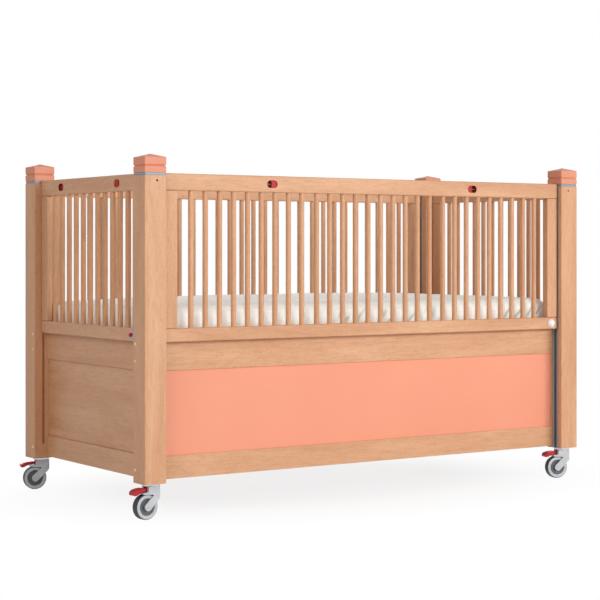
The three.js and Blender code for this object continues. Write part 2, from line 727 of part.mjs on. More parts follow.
function forkBody() {
  const axle = [-CASTER_TRAIL, axleHeight];
  const skirt = [HEAD_RADIUS, headTop - HEAD_SKIRT];
  const corner = [0, headTop - ARM_CORNER];
  const tail = -CASTER_TRAIL - 2 * ARM_END_RADIUS;
  const profile = new THREE.Shape();
  profile.moveTo(-HOOD_BACK, headTop);
  profile.lineTo(-HOOD_BACK - HOOD_LEAN, headTop - HOOD_DEPTH);
  profile.lineTo(-GUARD_REACH, headTop - GUARD_DROP);
  profile.lineTo(-GUARD_REACH, headTop - GUARD_DROP - GUARD_EDGE);
  profile.lineTo(...corner);
  profile.absarc(
    ...axle, ARM_END_RADIUS,
    touchAngle(corner, axle, ARM_END_RADIUS, 1), touchAngle(skirt, axle, ARM_END_RADIUS, -1) + 2 * Math.PI,
  );
  profile.lineTo(...skirt);
  profile.lineTo(HEAD_RADIUS, headTop);
  const sweep = Math.asin(forkHalf / HEAD_RADIUS);
  const plan = new THREE.Shape();
  plan.absarc(0, 0, HEAD_RADIUS, -sweep, sweep);
  plan.lineTo(tail, forkHalf);
  plan.lineTo(tail, -forkHalf);
  const sides = alongY(profile, -forkHalf, forkHalf, ARC_FACETS);
  const shell = sides.intersect(alongZ(plan, 0, casterTop, ARC_FACETS));
  const wheelRoom = rodAlongY(
    -CASTER_TRAIL, -slotHalf, slotHalf, axleHeight, axleHeight + TYRE_CLEARANCE, WHEEL_FACETS,
  );
  const pocket = box(
    -2 * HEAD_RADIUS, pivot.x + KNUCKLE_RADIUS + KNUCKLE_FIT, -pocketHalfWidth, pocketHalfWidth,
    pivot.z - KNUCKLE_RADIUS - KNUCKLE_FIT, pivot.z + KNUCKLE_RADIUS + KNUCKLE_FIT,
  );
  return join([
    cut(shell, [wheelRoom, pocket]),
    rodAlongY(-CASTER_TRAIL, -slotHalf - GAP, slotHalf + GAP, axleHeight, AXLE_DIAMETER / 2),
    rodAlongY(pivot.x, -pocketHalfWidth - GAP, pocketHalfWidth + GAP, pivot.z, PEDAL_PIN_DIAMETER / 2),
    rodAlongZ(0, 0, headTop - NECK_HEIGHT, casterTop - PLATE_THICKNESS / 2, NECK_RADIUS, DISC_FACETS),
    rodAlongZ(0, 0, casterTop - PLATE_THICKNESS, casterTop, PLATE_RADIUS, DISC_FACETS),
  ]);
}

// Wheel about its axle: a flat of the faceted tread stands on the floor
function wheelBody() {
  const toCorner = 1 / Math.cos(Math.PI / WHEEL_FACETS);
  const bore = (AXLE_DIAMETER / 2 + PIN_FIT) * toCorner;
  const tread = axleHeight * toCorner;
  const side = WHEEL_WIDTH / 2;
  const disc = side - RIM_RECESS;
  const edge = TREAD_WIDTH / 2;
  const profile = [
    [bore, -disc],
    [RIM_RADIUS - RIM_RECESS, -disc],
    [RIM_RADIUS, -side],
    [tread - TREAD_SHOULDER, -side],
    [tread, -edge],
    [tread, edge],
    [tread - TREAD_SHOULDER, side],
    [RIM_RADIUS, side],
    [RIM_RADIUS - RIM_RECESS, disc],
    [bore, disc],
    [bore, -disc],
  ];
  const points = profile.map(([r, y]) => new THREE.Vector2(r, y));
  return solid(new THREE.LatheGeometry(points, WHEEL_FACETS, Math.PI / WHEEL_FACETS));
}

// Brake pedal about its pivot: a knuckle, a neck and a paddle that curves down to the toe
function pedalBody() {
  const neck = PEDAL_NECK_THICKNESS / 2;
  const sweep = Math.PI - Math.asin(neck / KNUCKLE_RADIUS);
  const toe = -PEDAL_REACH;
  const profile = new THREE.Shape();
  profile.absarc(0, 0, KNUCKLE_RADIUS, -sweep, sweep);
  profile.lineTo(-PEDAL_NECK_LENGTH, neck);
  profile.bezierCurveTo(
    -PEDAL_NECK_LENGTH - PEDAL_CORNER, PEDAL_HUMP, toe + PEDAL_NECK_LENGTH, PEDAL_HUMP, toe, -PEDAL_TOE_TOP,
  );
  profile.quadraticCurveTo(toe - 1, -PEDAL_TOE_FOOT, toe + PEDAL_CORNER / 2, -PEDAL_TOE_FOOT);
  profile.bezierCurveTo(
    toe + 2 * PEDAL_CORNER, -PEDAL_TOE_FOOT, toe + 2 * PEDAL_CORNER, -neck, -PEDAL_NECK_LENGTH, -neck,
  );
  const wide = PEDAL_WIDTH / 2;
  const slim = PEDAL_NECK_WIDTH / 2;
  const tip = toe - KNUCKLE_RADIUS;
  const plan = new THREE.Shape();
  plan.moveTo(2 * KNUCKLE_RADIUS, -slim);
  plan.lineTo(2 * KNUCKLE_RADIUS, slim);
  plan.lineTo(-PEDAL_NECK_LENGTH, slim);
  plan.lineTo(-PEDAL_NECK_LENGTH - PEDAL_CORNER, wide);
  plan.lineTo(toe + PEDAL_CORNER, wide);
  plan.quadraticCurveTo(toe, wide, tip, wide - PEDAL_CORNER);
  plan.lineTo(tip, PEDAL_CORNER - wide);
  plan.quadraticCurveTo(toe, -wide, toe + PEDAL_CORNER, -wide);
  plan.lineTo(-PEDAL_NECK_LENGTH - PEDAL_CORNER, -wide);
  plan.lineTo(-PEDAL_NECK_LENGTH, -slim);
  const paddle = alongY(profile, -wide, wide, ARC_FACETS / 2);
  const outline = alongZ(plan, -PEDAL_REACH, PEDAL_REACH, ARC_FACETS / 2);
  const bore = rodAlongY(0, -PEDAL_WIDTH, PEDAL_WIDTH, 0, PEDAL_PIN_DIAMETER / 2 + PIN_FIT);
  return cut(paddle.intersect(outline), [bore]);
}

// Assembly
const cot = new THREE.Group();

const postX = (COT_LENGTH - POST_SIDE) / 2;
const postY = (COT_WIDTH - POST_SIDE) / 2;
const corners = [
  { name: 'front_left', sx: -1, sy: -1 },
  { name: 'front_right', sx: 1, sy: -1 },
  { name: 'rear_left', sx: -1, sy: 1 },
  { name: 'rear_right', sx: 1, sy: 1 },
];

const post = postBody();
const band = bandBody();
const cap = capBody();
const guide = guideBody();
const fork = forkBody();
const wheel = wheelBody();
const pedal = pedalBody();

for (const { name, sx, sy } of corners) {
  const stack = new THREE.Group();
  stack.position.set(sx * postX, sy * postY, 0);
  stack.scale.set(sx, sy, 1);
  stack.add(piece(`post_${name}`, post, beech));
  stack.add(piece(`post_band_${name}`, band, steel));
  stack.add(piece(`post_cap_${name}`, cap, coral));
  stack.add(piece(`guide_channel_${name}`, guide, aluminium));
  cot.add(stack);

  const caster = new THREE.Group();
  caster.position.set(sx * (postX - CASTER_INSET), sy * postY, 0);
  caster.rotation.z = THREE.MathUtils.degToRad(SWIVEL_REST[name]);
  caster.add(piece(`caster_fork_${name}`, fork, greyPlastic));
  const wheelMesh = piece(`caster_wheel_${name}`, wheel, tyreRubber);
  wheelMesh.position.set(-CASTER_TRAIL, 0, axleHeight);
  const pedalMesh = piece(`brake_pedal_${name}`, pedal, redPlastic);
  pedalMesh.position.set(pivot.x, 0, pivot.z);
  caster.add(wheelMesh, pedalMesh);
  cot.add(caster);
}

// The four sides share two designs, each turned to face out
const sides = [
  { name: 'front', side: LONG_SIDE, turn: 0, hands: ['left', 'right'], isEnd: false },
  { name: 'rear', side: LONG_SIDE, turn: Math.PI, hands: ['right', 'left'], isEnd: false },
  { name: 'left', side: END_SIDE, turn: -Math.PI / 2, hands: ['rear', 'front'], isEnd: true },
  { name: 'right', side: END_SIDE, turn: Math.PI / 2, hands: ['front', 'rear'], isEnd: true },
];

for (const { name, side, turn, hands, isEnd } of sides) {
  const group = new THREE.Group();
  group.rotation.z = turn;
  const fixed = fixedSide(side);
  group.add(piece(`upper_rail_${name}`, fixed.upperRail, beech));
  group.add(piece(`lower_panel_${name}`, fixed.panel, isEnd ? beech : coral));
  group.add(piece(`bottom_rail_${name}`, fixed.bottomRail, beech));
  group.add(piece(`top_rail_${name}`, topRailBody(side), beech));
  if (isEnd) {
    const seat = knobSeat(side);
    const bars = barredFrame(side, isEnd).add(seat.plate).subtract(seat.bore);
    group.add(piece(`barred_frame_${name}`, bars, beech));
    group.add(piece(`pull_knob_${name}`, seat.knob, redPlastic));
  } else {
    group.add(piece(`barred_frame_${name}`, barredFrame(side, isEnd).add(capDome(side)), beech));
  }
  const latch = latchBody(side);
  hands.forEach((hand, i) => {
    const mesh = piece(`latch_${name}_${hand}`, latch, redPlastic);
    mesh.scale.x = i === 0 ? -1 : 1;
    group.add(mesh);
  });
  cot.add(group);
}

cot.add(piece('base_board', boardBody(), beech));
cot.add(piece('mattress', mattressBody(), cover));

// The origin is the middle of the cot's footprint, pedals included, on the floor
const footprint = new THREE.Box3().setFromObject(cot, true);
cot.position.x = -(footprint.min.x + footprint.max.x) / 2;

export default cot;
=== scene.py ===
import json
import math

import bmesh
import bpy
import numpy as np
from mathutils import Matrix, Vector, noise


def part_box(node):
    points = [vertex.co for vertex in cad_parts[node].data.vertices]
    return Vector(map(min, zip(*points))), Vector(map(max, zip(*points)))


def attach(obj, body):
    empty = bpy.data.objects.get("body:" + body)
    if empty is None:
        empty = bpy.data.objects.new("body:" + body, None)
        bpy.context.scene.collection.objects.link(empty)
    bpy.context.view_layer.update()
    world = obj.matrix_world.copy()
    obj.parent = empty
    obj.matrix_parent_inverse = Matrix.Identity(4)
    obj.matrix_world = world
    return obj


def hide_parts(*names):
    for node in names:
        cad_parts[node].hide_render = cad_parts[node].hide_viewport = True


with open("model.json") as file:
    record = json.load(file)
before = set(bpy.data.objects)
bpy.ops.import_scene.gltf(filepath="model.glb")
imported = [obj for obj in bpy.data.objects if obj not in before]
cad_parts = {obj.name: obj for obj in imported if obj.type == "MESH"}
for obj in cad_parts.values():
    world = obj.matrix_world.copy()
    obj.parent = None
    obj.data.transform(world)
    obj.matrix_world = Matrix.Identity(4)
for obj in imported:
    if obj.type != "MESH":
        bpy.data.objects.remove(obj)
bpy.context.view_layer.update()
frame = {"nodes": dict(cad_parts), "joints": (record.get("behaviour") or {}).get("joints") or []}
NODES = frame["nodes"]
MM = 0.001
CORNERS = ("front_left", "front_right", "rear_left", "rear_right")
SIDES = ("front", "rear", "left", "right")
ENDS = ("left", "right")

# The frame's middle, which lies off the origin because the pedals reach out at one end
SHIFT = (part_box("post_front_left")[0].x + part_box("post_front_right")[1].x) / 2


# Colours and materials

def rgb(r, g, b):
    """sRGB 0 to 255 as linear RGBA."""
    lin = []
    for c in (r, g, b):
        c /= 255
        lin.append(c / 12.92 if c <= 0.04045 else ((c + 0.055) / 1.055) ** 2.4)
    return (*lin, 1.0)


class Shader:
    """A small wrapper round a principled material's node tree."""

    # Socket numbers of a mix node that blends colours, and of a map range node
    MIX_FACTOR, MIX_A, MIX_B, MIX_RESULT = 0, 6, 7, 2
    SPAN_SOCKETS = (1, 2, 3, 4)

    def __init__(self, name):
        self.mat = bpy.data.materials.new(name)
        self.mat.use_nodes = True
        self.tree = self.mat.node_tree
        self.bsdf = self.tree.nodes["Principled BSDF"]
        self.coords = self.tree.nodes.new("ShaderNodeTexCoord")

    def set(self, **values):
        for key, value in values.items():
            self.bsdf.inputs[key.replace("_", " ")].default_value = value
        return self

    def node(self, kind, **inputs):
        n = self.tree.nodes.new(kind)
        for key, value in inputs.items():
            self.plug(n.inputs[key], value)
        return n

    def plug(self, socket, value):
        if isinstance(value, bpy.types.NodeSocket):
            self.tree.links.new(value, socket)
        else:
            socket.default_value = value

    def mapped(self, scale, offset=(0, 0, 0)):
        n = self.node("ShaderNodeMapping", Vector=self.coords.outputs["Object"])
        n.inputs["Scale"].default_value = scale
        n.inputs["Location"].default_value = offset
        return n.outputs["Vector"]

    def noise(self, scale, detail, rough, distortion=0.0, offset=(0, 0, 0)):
        n = self.node("ShaderNodeTexNoise", Vector=self.mapped(scale, offset))
        n.inputs["Scale"].default_value = 1.0
        n.inputs["Detail"].default_value = detail
        n.inputs["Roughness"].default_value = rough
        n.inputs["Distortion"].default_value = distortion
        return n.outputs["Fac"]

    def ramp(self, fac, stops):
        n = self.node("ShaderNodeValToRGB", Fac=fac)
        cr = n.color_ramp
        while len(cr.elements) < len(stops):
            cr.elements.new(0.5)
        for e, (pos, col) in zip(cr.elements, stops):
            e.position = pos
            e.color = col
        return n.outputs["Color"]

    def span(self, fac, lo, hi, out_lo=0.0, out_hi=1.0):
        n = self.node("ShaderNodeMapRange", Value=fac)
        for i, v in zip(self.SPAN_SOCKETS, (lo, hi, out_lo, out_hi)):
            n.inputs[i].default_value = v
        return n.outputs["Result"]

    def math(self, op, a, b):
        n = self.tree.nodes.new("ShaderNodeMath")
        n.operation = op
        self.plug(n.inputs[0], a)
        self.plug(n.inputs[1], b)
        return n.outputs[0]

    def mix(self, fac, a, b):
        n = self.tree.nodes.new("ShaderNodeMix")
        n.data_type = "RGBA"
        self.plug(n.inputs[self.MIX_FACTOR], fac)
        self.plug(n.inputs[self.MIX_A], a)
        self.plug(n.inputs[self.MIX_B], b)
        return n.outputs[self.MIX_RESULT]

    def bump(self, height, distance, strength):
        n = self.node("ShaderNodeBump", Height=height)
        n.inputs["Distance"].default_value = distance
        n.inputs["Strength"].default_value = strength
        return n.outputs["Normal"]

    def link(self, socket, value):
        self.tree.links.new(value, self.bsdf.inputs[socket])


def along(axis, lengthwise, crosswise):
    """Texture scale that runs long in one axis."""
    return tuple(lengthwise if i == axis else crosswise for i in range(3))


# Layers of the beech: texture scale along and across the grain, detail, roughness, distortion
GRAIN = {
    "figure": (1.6, 16, 4, 0.55, 0.6),
    "cloud": (4.5, 11, 2, 0.5, 0.0),
    "fibre": (14, 420, 3, 0.6, 0.0),
    "streak": (26, 230, 2, 0.6, 0.0),
    "fleck": (120, 700, 1, 0.5, 0.0),
}
FIGURE_TONES = (
    (0.30, (203, 150, 112)), (0.44, (213, 162, 123)),
    (0.56, (220, 170, 131)), (0.72, (226, 179, 141)),
)
# Tints over the figure: layer, where its noise begins to count and counts in full, cover, colour
TINTS = (
    ("cloud", 0.35, 0.7, 0.30, (204, 148, 109)),
    ("fibre", 0.35, 0.75, 0.24, (186, 130, 92)),
    ("streak", 0.46, 0.72, 0.34, (184, 126, 88)),
    ("fleck", 0.64, 0.74, 0.5, (148, 94, 62)),
)
# Upright pieces are a little darker: painted shade that keeps them as dark as the rails under the lamps
UPRIGHT_SHADE_COVER = 0.14
UPRIGHT_SHADE_TONE = (196, 140, 102)
# Shift of the grain from one seed to the next
SEED_STEP = (1.37, 2.11, 0.73)


def beech(name, axis, seed):
    """Lacquered beech with its grain along one axis: broad figure, fine fibre and short dark ray flecks."""
    s = Shader(name)
    offset = tuple(seed * step for step in SEED_STEP)
    layers = {}
    for layer, (lengthwise, crosswise, *character) in GRAIN.items():
        layers[layer] = s.noise(along(axis, lengthwise, crosswise), *character, offset)
    base = s.ramp(layers["figure"], [(place, rgb(*tone)) for place, tone in FIGURE_TONES])
    # Painted shade that darkens the upright pieces
    if axis == 2:
        base = s.mix(UPRIGHT_SHADE_COVER, base, rgb(*UPRIGHT_SHADE_TONE))
    for layer, begin, full, cover, tone in TINTS:
        base = s.mix(s.span(layers[layer], begin, full, 0.0, cover), base, rgb(*tone))
    s.link("Base Color", base)
    s.link("Roughness", s.span(layers["fibre"], 0.3, 0.8, 0.4, 0.54))
    pores = s.math("MULTIPLY", s.span(layers["fleck"], 0.66, 0.78), -0.4)
    relief = s.math("ADD", s.math("MULTIPLY", layers["fibre"], 0.6), pores)
    s.link("Normal", s.bump(relief, 0.00012, 0.6))
    return s.set(Coat_Weight=0.05, Coat_Roughness=0.3, Specular_IOR_Level=0.3).mat


def lacquer(name, lit, deep, seed):
    """Satin paint: slight cloudiness and a very fine orange peel."""
    s = Shader(name)
    cloud = s.noise((3, 3, 3), 3, 0.5, offset=(seed, seed, 0))
    peel = s.noise((420, 420, 420), 2, 0.5)
    s.link("Base Color", s.mix(s.span(cloud, 0.3, 0.7), lit, deep))
    s.link("Roughness", s.span(cloud, 0.2, 0.8, 0.46, 0.56))
    s.link("Normal", s.bump(peel, 0.00006, 0.35))
    return s.set(Coat_Weight=0.04, Coat_Roughness=0.3, Specular_IOR_Level=0.3).mat


def brushed(name, lit, deep, axis, metallic, rough):
    """Drawn or brushed metal with fine lines along one axis."""
    s = Shader(name)
    lines = s.noise(along(axis, 6, 900), 3, 0.6)
    smudge = s.noise((18, 18, 18), 3, 0.5)
    s.link("Base Color", s.mix(s.span(lines, 0.3, 0.7), deep, lit))
    s.link("Roughness", s.span(smudge, 0.3, 0.7, rough - 0.07, rough + 0.08))
    s.link("Normal", s.bump(lines, 0.00004, 0.4))
    return s.set(Metallic=metallic).mat


# Texture scales that the moulded plastics share
MOULD_CLOUD = (30, 30, 30)
MOULD_GRAIN = 900
MOULD_DEPTH = 0.00005


def moulded(name, lit, deep, rough, grain=MOULD_GRAIN, depth=MOULD_DEPTH):
    """Injection-moulded plastic with a fine spark-eroded grain."""
    s = Shader(name)
    cloud = s.noise(MOULD_CLOUD, 3, 0.5)
    fine = s.noise((grain, grain, grain), 2, 0.5)
    s.link("Base Color", s.mix(s.span(cloud, 0.3, 0.7), lit, deep))
    s.link("Roughness", s.span(fine, 0.3, 0.7, rough - 0.05, rough + 0.07))
    s.link("Normal", s.bump(fine, depth, 0.35))
    return s.set(Specular_IOR_Level=0.28).mat


# Depth below the fork's top at which the plastic ends, and at which all is zinc
PLASTIC_ENDS = 6.6 * MM
ZINC_BEGINS = 6.2 * MM


def caster_head(name, lit, deep, top):
    """Moulded grey fork whose swivel plate, the top few millimetres, is bright zinc."""
    s = Shader(name)
    cloud = s.span(s.noise(MOULD_CLOUD, 3, 0.5), 0.3, 0.7)
    fine = s.noise((MOULD_GRAIN, MOULD_GRAIN, MOULD_GRAIN), 2, 0.5)
    height = s.node("ShaderNodeSeparateXYZ", Vector=s.coords.outputs["Object"]).outputs["Z"]
    zinc = s.span(height, top - PLASTIC_ENDS, top - ZINC_BEGINS)
    plastic = s.mix(cloud, lit, deep)
    metal = s.mix(cloud, rgb(226, 228, 230), rgb(196, 199, 203))
    s.link("Base Color", s.mix(zinc, plastic, metal))
    s.link("Metallic", s.math("MULTIPLY", zinc, 0.8))
    rough = s.span(fine, 0.3, 0.7, 0.32, 0.44)
    s.link("Roughness", s.math("SUBTRACT", rough, s.math("MULTIPLY", zinc, 0.12)))
    s.link("Normal", s.bump(fine, MOULD_DEPTH, 0.35))
    return s.mat


# Point attribute that carries the depth of the cover's creases, and how far the creases are darkened with
# painted shade
CREASE_ATTRIBUTE = "crease"
CREASE_SHADE_COVER = 0.8
CREASE_SHADE_TONE = (124, 123, 116)


def woven_cover(name):
    """White mattress cover: a fine plain weave, painted light as a faint glow that brightens the white, and
    creases darkened with painted shade.
    """
    s = Shader(name)
    cloud = s.noise((7, 7, 7), 4, 0.55)
    threads = []
    for direction in "XY":
        w = s.node("ShaderNodeTexWave", Vector=s.mapped((1, 1, 1)))
        w.wave_type = "BANDS"
        w.bands_direction = direction
        w.inputs["Scale"].default_value = 210
        w.inputs["Distortion"].default_value = 0.6
        w.inputs["Detail"].default_value = 1
        threads.append(w.outputs["Fac"])
    weave = s.math("MULTIPLY", *threads)
    base = s.mix(s.span(cloud, 0.3, 0.7), rgb(248, 252, 246), rgb(242, 248, 241))
    base = s.mix(s.span(weave, 0.0, 1.0, 0.08, 0.0), base, rgb(212, 213, 212))
    # Painted shade in the creases, as deep as they are
    depth = s.node("ShaderNodeAttribute")
    depth.attribute_name = CREASE_ATTRIBUTE
    base = s.mix(s.math("MULTIPLY", depth.outputs["Fac"], CREASE_SHADE_COVER), base, rgb(*CREASE_SHADE_TONE))
    s.link("Base Color", base)
    s.link("Normal", s.bump(weave, 0.00018, 0.3))
    s.set(Subsurface_Weight=0.5, Subsurface_Scale=0.008, Subsurface_Radius=(1.0, 1.0, 1.0))
    # Painted light: a faint emission that makes the cover glow brighter than its lamps light it
    s.set(Emission_Color=(1, 1, 0.95, 1), Emission_Strength=0.12)
    return s.set(Roughness=0.75, Sheen_Weight=0.2, Sheen_Roughness=0.5).mat


WOOD = {}
# First seed of the grain in each kind of wooden piece; the copies of a kind count up from it
SEEDS = {
    "post": 1, "top_rail": 11, "lower_rail": 21, "stiles": 31, "bars": 41, "upper_rail": 51,
    "bottom_rail": 61, "lower_panel": 71, "base_board": 81, "panel_strips": 91,
}


def wood(axis, kind, index=0):
    """Beech for one copy of a kind of piece, with its grain along an axis."""
    key = (axis, SEEDS[kind] + index)
    if key not in WOOD:
        WOOD[key] = beech("beech_%s_%d" % ("xyz"[axis], key[1]), *key)
    return WOOD[key]


FORK_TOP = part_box("caster_fork_front_left")[1].z
CORAL_PANEL = lacquer("coral_lacquer_panel", rgb(238, 156, 125), rgb(234, 152, 121), 1)
CORAL_CAP = lacquer("coral_lacquer_cap", rgb(222, 146, 117), rgb(217, 141, 112), 4)
BAND = brushed("band_metal", rgb(143, 150, 156), rgb(126, 134, 140), 0, 0.25, 0.5)
ALUMINIUM = brushed("guide_aluminium", rgb(168, 171, 174), rgb(138, 142, 146), 2, 0.35, 0.42)
# Dark olive-brown of the latch rods: painted shade, so that each rod reads as the shaded gap of its window
ROD_SHADE = brushed("rod_painted_shade", rgb(128, 116, 84), rgb(100, 90, 64), 0, 0.3, 0.45)
PLATE = moulded("plate_grey_blue", rgb(186, 200, 208), rgb(172, 188, 198), 0.4)
BRASS = brushed("bolt_brass", rgb(236, 216, 150), rgb(208, 184, 118), 1, 0.7, 0.3)
SCREW = brushed("screw_zinc", rgb(196, 200, 202), rgb(150, 156, 160), 1, 0.85, 0.32)
RED = moulded("red_plastic", rgb(188, 34, 46), rgb(172, 27, 38), 0.34)
LATCH_RED = moulded("latch_red", rgb(192, 42, 54), rgb(178, 34, 46), 0.5)
# A darker copy of the latch red for the window linings: painted shade inside the windows
LINING_RED_SHADED = moulded("lining_red_painted_shade", rgb(152, 30, 36), rgb(138, 24, 30), 0.5)
GREY = moulded("block_grey", rgb(196, 201, 205), rgb(187, 192, 196), 0.36)
FORK = caster_head("fork_grey_and_zinc", rgb(196, 201, 205), rgb(187, 192, 196), FORK_TOP)
RING = moulded("wheel_ring_grey", rgb(196, 200, 203), rgb(185, 190, 193), 0.42)
HUB = moulded("wheel_disc_grey", rgb(98, 102, 105), rgb(84, 88, 91), 0.46)
TREAD = moulded("tread_rubber", rgb(72, 76, 79), rgb(60, 64, 67), 0.6, 1400, 0.00012)
WHITE = moulded("cap_white", rgb(246, 246, 244), rgb(238, 238, 236), 0.32)
HOLE = moulded("hole_shadow", rgb(66, 40, 28), rgb(48, 28, 20), 0.8)
COVER = woven_cover("mattress_cover_cloth")


# Mesh building

WELD_REACH = 0.00003


def shade_smooth(mesh):
    mesh.polygons.foreach_set("use_smooth", [True] * len(mesh.polygons))


def new_object(name, bm, material):
    mesh = bpy.data.meshes.new(name)
    bmesh.ops.recalc_face_normals(bm, faces=bm.faces)
    bm.to_mesh(mesh)
    bm.free()
    obj = bpy.data.objects.new(name, mesh)
    bpy.context.scene.collection.objects.link(obj)
    mesh.materials.append(material)
    shade_smooth(mesh)
    return obj


def weigh_normals(obj):
    m = obj.modifiers.new("normals", "WEIGHTED_NORMAL")
    m.keep_sharp = False
    m.weight = 80


def soften(obj, width, angle=50, segments=2):
    """Rounded arrises on a piece, where its edges are sharper than an angle in degrees."""
    b = obj.modifiers.new("arris", "BEVEL")
    b.width = width
    b.segments = segments
    b.limit_method = "ANGLE"
    b.angle_limit = math.radians(angle)
    b.use_clamp_overlap = True
    weigh_normals(obj)


def dress(node, material, width, angle):
    """Material and softened arrises on a CAD node, by modifiers only."""
    obj = NODES[node]
    obj.data.materials.clear()
    obj.data.materials.append(material)
    shade_smooth(obj.data)
    w = obj.modifiers.new("weld", "WELD")
    w.merge_threshold = WELD_REACH
    soften(obj, width, angle)


def in_mm(*points):
    """A profile of (radius, height) given in millimetres."""
    return [(r * MM, h * MM) for r, h in points]


def add_box(bm, lo, hi):
    """A box between two corners."""
    lo, hi = Vector(map(min, lo, hi)), Vector(map(max, lo, hi))
    made = bmesh.ops.create_cube(bm, size=1.0)
    bmesh.ops.scale(bm, vec=hi - lo, verts=made["verts"])
    bmesh.ops.translate(bm, vec=(lo + hi) / 2, verts=made["verts"])


def add_lathe(bm, profile, centre, axis, segments):
    """A turned form: profile of (radius, height) along the axis from the centre. A radius of 0 closes it."""
    turn = Vector((0, 0, 1)).rotation_difference(Vector(axis)).to_matrix()
    angles = [2 * math.pi * i / segments for i in range(segments)]
    rings = []
    for r, h in profile:
        spread = angles if r > 0 else angles[:1]
        points = [Vector((r * math.cos(a), r * math.sin(a), h)) for a in spread]
        rings.append([bm.verts.new(Vector(centre) + turn @ p) for p in points])
    for a, b in zip(rings, rings[1:]):
        for i in range(segments):
            j = (i + 1) % segments
            quad = [a[i % len(a)], a[j % len(a)], b[j % len(b)], b[i % len(b)]]
            quad = list(dict.fromkeys(quad))
            if len(quad) > 2:
                bm.faces.new(quad)


def add_prism(bm, outline, run):
    """A closed prism over a list of points, run along a vector."""
    low = [bm.verts.new(p) for p in outline]
    high = [bm.verts.new(v.co + Vector(run)) for v in low]
    bm.faces.new(low[::-1])
    bm.faces.new(high)
    for i in range(len(low)):
        j = (i + 1) % len(low)
        bm.faces.new((low[i], low[j], high[j], high[i]))


# Drop sides

LOWER_RAIL_HEIGHT = 39 * MM
LOWER_RAIL_EDGE = 4 * MM
STILE_WIDTH = 42 * MM
STILE_EDGE = 2.2 * MM
STILE_FOOT_GAP = 0.2 * MM
TOP_RAIL_GAP = 0.3 * MM
BAR_RADIUS = 8 * MM
BAR_PITCH = 48 * MM
BAR_ROOT = 4 * MM
BAR_SEGMENTS = 24
# On a long side, each half has an inner and an outer group of bars with a wider gap between them
GROUP_STEP = 54 * MM
INNER_BARS = 5
OUTER_BARS = 9
# Bars to each side of the middle one on an end
END_BARS = 5
# Middle of a latch window, from the middle of the side
LONG_WINDOW = 0.382
END_WINDOW = 0.185
# Guide blocks: clearance to the rails, how far the upper ones hang below the top rail, and the steps of
# their section in millimetres, as start and stop past the side's end and half the thickness
GUIDE_CLEARANCE = 3 * MM
GUIDE_UPPER_FOOT = 57 * MM
LONG_GUIDE_STEPS = ((-1, 8, 6), (6.5, 13.5, 12.5))
END_GUIDE_STEPS = ((-1, 13, 4),)
GUIDE_EDGE = 0.6 * MM


class Side:
    """Sizes of one drop side in its own frame, outer face towards -y, and the way into the row frame."""

    TURN = {"front": 0.0, "rear": math.pi, "left": -math.pi / 2, "right": math.pi / 2}

    def __init__(self, name):
        self.name = name
        self.is_end = name in ENDS
        self.turn = Matrix.Translation((SHIFT, 0, 0)) @ Matrix.Rotation(self.TURN[name], 4, "Z")
        lo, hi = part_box("top_rail_" + name)
        back = self.turn.inverted()
        pts = [back @ lo, back @ hi]
        self.face = min(p.y for p in pts)
        self.back = max(p.y for p in pts)
        self.end = max(p.x for p in pts)
        self.middle = (self.face + self.back) / 2
        self.top_rail_foot = lo.z
        self.latch_height = (hi.z + lo.z) / 2
        self.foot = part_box("barred_frame_" + name)[0].z
        self.lower_top = self.foot + LOWER_RAIL_HEIGHT
        self.lower_middle = (self.foot + self.lower_top) / 2
        self.window = END_WINDOW if self.is_end else LONG_WINDOW

    def bars(self):
        """Places of the bars along the side."""
        if self.is_end:
            return [BAR_PITCH * i for i in range(-END_BARS, END_BARS + 1)]
        inner = [BAR_PITCH / 2 + BAR_PITCH * i for i in range(INNER_BARS)]
        outer = [inner[-1] + GROUP_STEP + BAR_PITCH * i for i in range(OUTER_BARS)]
        return [-x for x in reversed(inner + outer)] + inner + outer

    def place(self, obj, slot, body=None):
        """Sets a piece into the row frame, on the side's own body or on one that moves in it."""
        obj.matrix_world = self.turn
        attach(obj, body or "drop_" + self.name)


